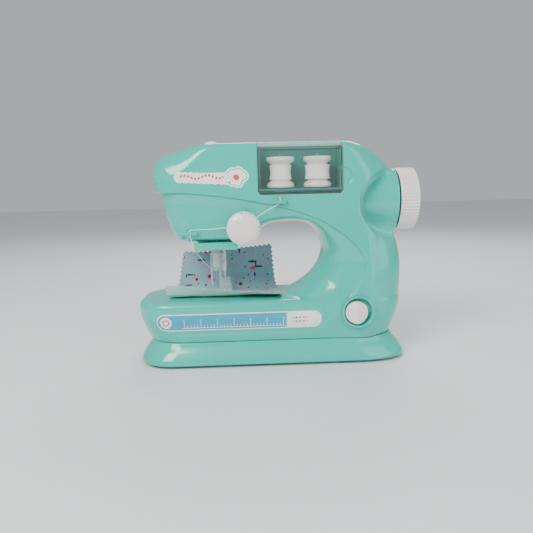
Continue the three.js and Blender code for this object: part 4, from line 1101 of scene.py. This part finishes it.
def make_cloth():
    """One pinked piece of cotton: printed above, pale below, gently rumpled away from the foot."""
    step = 0.75
    across, along = int(103 / step), int(94 / step)
    tooth = 4.6
    saw = lambda s: abs((s / tooth) % 1 - 0.5) * 2
    columns = []
    for i in range(across + 1):
        profile = cloth_profile(i / across)
        runs = np.linalg.norm(np.diff(profile, axis=0), axis=1)
        columns.append((profile, np.concatenate([[0], np.cumsum(runs)])))
    upper = []
    for j in range(along + 1):
        for i in range(across + 1):
            u, v = i / across, j / along
            profile, walked = columns[i]
            s = v * walked[-1]
            left = -109.5 + 13 * v
            right = 0.5 + 2.5 * math.sin(math.pi * min(1.0, 1.6 * v)) - 6.5 * v
            x = left + (right - left) * u
            side = abs(2 * u - 1) ** 40
            x -= math.copysign(2.0 * side * saw(v * 94), u - 0.5)
            end = abs(2 * v - 1) ** 40
            s += (1.0 if v < 0.5 else -1.0) * 2.0 * end * saw(x + 200)
            y = np.interp(s, walked, profile[:, 0])
            z = np.interp(s, walked, profile[:, 1])
            flat_part = smoothstep(30, 14, abs(x + 57)) * smoothstep(63.5, 61.3, z)
            wave = 0.9 * math.sin(x / 9.5 + 0.7) + 0.6 * math.sin(x / 5.3 + z / 14)
            wave += 0.4 * math.sin(z / 6 - x / 21)
            raised = smoothstep(62, 74, z)
            front = smoothstep(-12, -26, y)
            y += raised * wave * (0.55 if front > 0.5 else 1.0)
            z += (1 - flat_part) * (1 - raised) * (0.35 + 0.25 * math.sin(x / 7))
            z += front * raised * 0.8 * math.sin(x / 13 + 2.2)
            upper.append((x, float(y), float(z)))
    upper = np.array(upper).reshape(along + 1, across + 1, 3)
    du = np.gradient(upper, axis=1)
    dv = np.gradient(upper, axis=0)
    normal = np.cross(du, dv)
    normal /= np.linalg.norm(normal, axis=2, keepdims=True)
    lower = upper - normal * CLOTH_THICK
    vertices = np.vstack([upper.reshape(-1, 3), lower.reshape(-1, 3)])
    count = (along + 1) * (across + 1)
    edges = set()
    faces = []
    centres = (upper[:-1, :-1] + upper[1:, 1:]) / 2
    kept = np.hypot(centres[..., 0] - NEEDLE_X, centres[..., 1]) > 1.7
    at = lambda j, i: j * (across + 1) + i
    for j in range(along):
        for i in range(across):
            if not kept[j, i]:
                continue
            ring = (at(j, i), at(j, i + 1), at(j + 1, i + 1), at(j + 1, i))
            faces.append(ring)
            faces.append(tuple(count + v for v in reversed(ring)))
            edges.update((ring[k], ring[(k + 1) % 4]) for k in range(4))
    for a, b in sorted(edges):
        if (b, a) not in edges:
            faces.append((b, a, count + a, count + b))
    used = sorted({v for face in faces for v in face})
    renumber = {v: n for n, v in enumerate(used)}
    faces = [tuple(renumber[v] for v in face) for face in faces]
    cloth = piece("cloth_form", vertices[used], faces, "cloth", replaces=("fabric_piece",), slot="cloth",
                  sharp=70)
    cloth.data.materials.append(LOOKS["cloth_back"])
    below = {n for n, v in enumerate(used) if v >= count}
    for polygon in cloth.data.polygons:
        if sum(v in below for v in polygon.vertices) == 4:
            polygon.material_index = 1
    return cloth


make_cloth()


# ---------------------------------------------------------------- stickers
def sticker(name, outline, x_span, z_span, look, lift=0.22, step=0.4, slot="white_plastic", near=-46):
    """A thin label that follows the front of the casing; outline is a field of x and z."""
    def field(x, y, z):
        form = casing_at(x, y, z)
        return round_max(np.maximum(form - lift, -(form + 0.3)), np.maximum(outline(x, z), y + 20), 0.08)
    low, high = (x_span[0], near, z_span[0]), (x_span[1], near + 11, z_span[1])
    return from_field(name, field, low, high, step, look, slot=slot, sharp=50)


def stadium(x, z, x0, x1, middle, radius):
    nearest = np.clip(x, x0 + radius, x1 - radius)
    return np.hypot(x - nearest, z - middle) - radius


def bar(x, z, x0, x1, z0, z1, radius=0.3):
    return round_max(slab(x0, x, x1), slab(z0, z, z1), radius)


RULER = (-115.4, 35.2, 42.2)


def ruler_ticks(x, z):
    """Ruler marks along a base line, every fifth one longer."""
    marks = round_max(slab(-92, x, 2), slab(36.6, z, 37.2), 0.05)
    nearest = np.round((x + 90) / 3) * 3 - 90
    number = np.round((nearest + 90) / 3)
    tall = np.where(np.mod(number, 5) == 0, 45.0, 39.6)
    tick = np.maximum(np.abs(x - nearest) - 0.3, np.maximum(slab(37, z, tall), slab(-90.5, x, 0.5)))
    return np.minimum(marks, tick)


def ruler_band(x, z):
    return np.maximum(stadium(x, z, RULER[0] + 1, RULER[1] - 1, RULER[2], 7.1), x - 3.2)


def ring(x, z, centre, outer, inner):
    away = np.hypot(x - centre[0], z - centre[1])
    return np.maximum(away - outer, inner - away)


def ruler_stitches(x, z):
    rows = np.abs(np.abs(z - RULER[2]) - 1.9) - 0.8
    return np.maximum(np.maximum(rows, slab(8.4, x, 22)), np.abs(np.mod(x, 3.4) - 1.7) - 1.15)


DISC = (-106.5, RULER[2])
sticker("ruler_border", lambda x, z: stadium(x, z, *RULER, 8.1), (-116, 36), (33.5, 51), "sticker_white", 0.16)
sticker("ruler_band", ruler_band, (-115, 3.4), (34.5, 50), "sticker_blue", 0.26)
sticker("ruler_marks", ruler_ticks, (-93, 3), (36.2, 45.4), "sticker_white", 0.34, 0.3)
sticker("ruler_disc", lambda x, z: cylinder(x, z, DISC, 5.4), (-113, -100), (36, 49), "sticker_white", 0.36)
sticker("ruler_button", lambda x, z: ring(x, z, DISC, 3.3, 1.9), (-111, -102), (38, 47), "sticker_coral", 0.44, 0.3)
sticker("ruler_stitches", ruler_stitches, (7.5, 22.5), (38.6, 45.8), "sticker_coral", 0.26, 0.3)


CLOUD_PUFFS = ((-42, 173.5, 6.4), (-36.6, 176, 4.8), (-33, 172, 5.4), (-37.5, 166.6, 5.2), (-42.5, 166.2, 3.6))


def badge(x, z, grow=0.0):
    """Scalloped band that ends in a puffed cloud."""
    form = bar(x, z, -91.6, -44, 168.4, 175.6, 3.0)
    for k in range(9):
        form = np.minimum(form, np.hypot(x + 89 - 5.2 * k, z - 172 + 0.06 * (x + 89)) - 5.0)
    for u, v, r in CLOUD_PUFFS:
        form = round_min(form, np.hypot(x - u, z - v) - r, 0.6)
    return form - grow


def stitches(x, z):
    """A running stitch that waves along the band."""
    line = 172 + 1.5 * np.sin((x + 90) / 3.3)
    pitch = 3.1
    place = np.mod(x + 92, pitch)
    return np.maximum(np.maximum(np.abs(z - line) - 1.15, slab(0.4, place, 2.4)), slab(-90, x, -50))


def cloud_line(x, z):
    """A band just inside the badge's edge, around the cloud only."""
    return np.maximum(badge(x, z, -1.5), np.maximum(-badge(x, z, -2.3), -48 - x))


sticker("badge_back", badge, (-95, -26), (160, 182), "sticker_white", 0.2, 0.45, near=-44)
sticker("badge_stitch", stitches, (-91, -49), (169, 175), "sticker_coral", 0.32, 0.3, near=-44)
sticker("badge_cloud", cloud_line, (-48, -27), (161, 181), "sticker_blue", 0.32, 0.3, near=-44)
sticker("badge_button", lambda x, z: cylinder(x, z, (-39, 171), 2.7), (-43, -35), (167, 175), "sticker_coral", 0.34,
        0.3, near=-44)


# ---------------------------------------------------------------- looks of the frame's own nodes
NODE_LOOKS = {
    "battery_door": "mint", "battery_box": "dark", "battery_1": "cell", "battery_2": "cell", "battery_3": "cell",
    "contact_strip_left": "steel", "contact_strip_right": "steel", "circuit_board": "board", "speaker": "dark",
    "chassis": "natural", "motor": "steel_turned", "motor_pinion": "natural", "idler_gear": "natural",
    "shaft_gear": "natural", "main_shaft": "steel_turned", "shaft_bush_left": "brass", "shaft_bush_right": "brass",
    "crank_disc": "natural", "needle_bar": "steel", "needle": "steel", "presser_bar": "steel",
    "presser_lever": "white", "needle_plate": "steel", "feed_dog": "steel", "bobbin_case": "dark",
    "bobbin": "clear_part", "switch_body": "dark", "casing_screw_1": "steel", "casing_screw_2": "steel", "door_screw": "steel",
}
for node_name, look_name in NODE_LOOKS.items():
    node = NODES[node_name]
    for slot_number in range(len(node.material_slots)):
        node.material_slots[slot_number].material = LOOKS[look_name]
    if node_name not in ("motor_pinion", "idler_gear", "shaft_gear"):
        edge = node.modifiers.new("soft_edges", "BEVEL")
        edge.width = 0.0003
        edge.segments = 2
        edge.limit_method = "ANGLE"
        edge.angle_limit = math.radians(45)

# ---------------------------------------------------------------- end
old, new = CAD_BOX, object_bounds()
{"cad": [list(v) for v in old], "visual": [list(v) for v in new]}
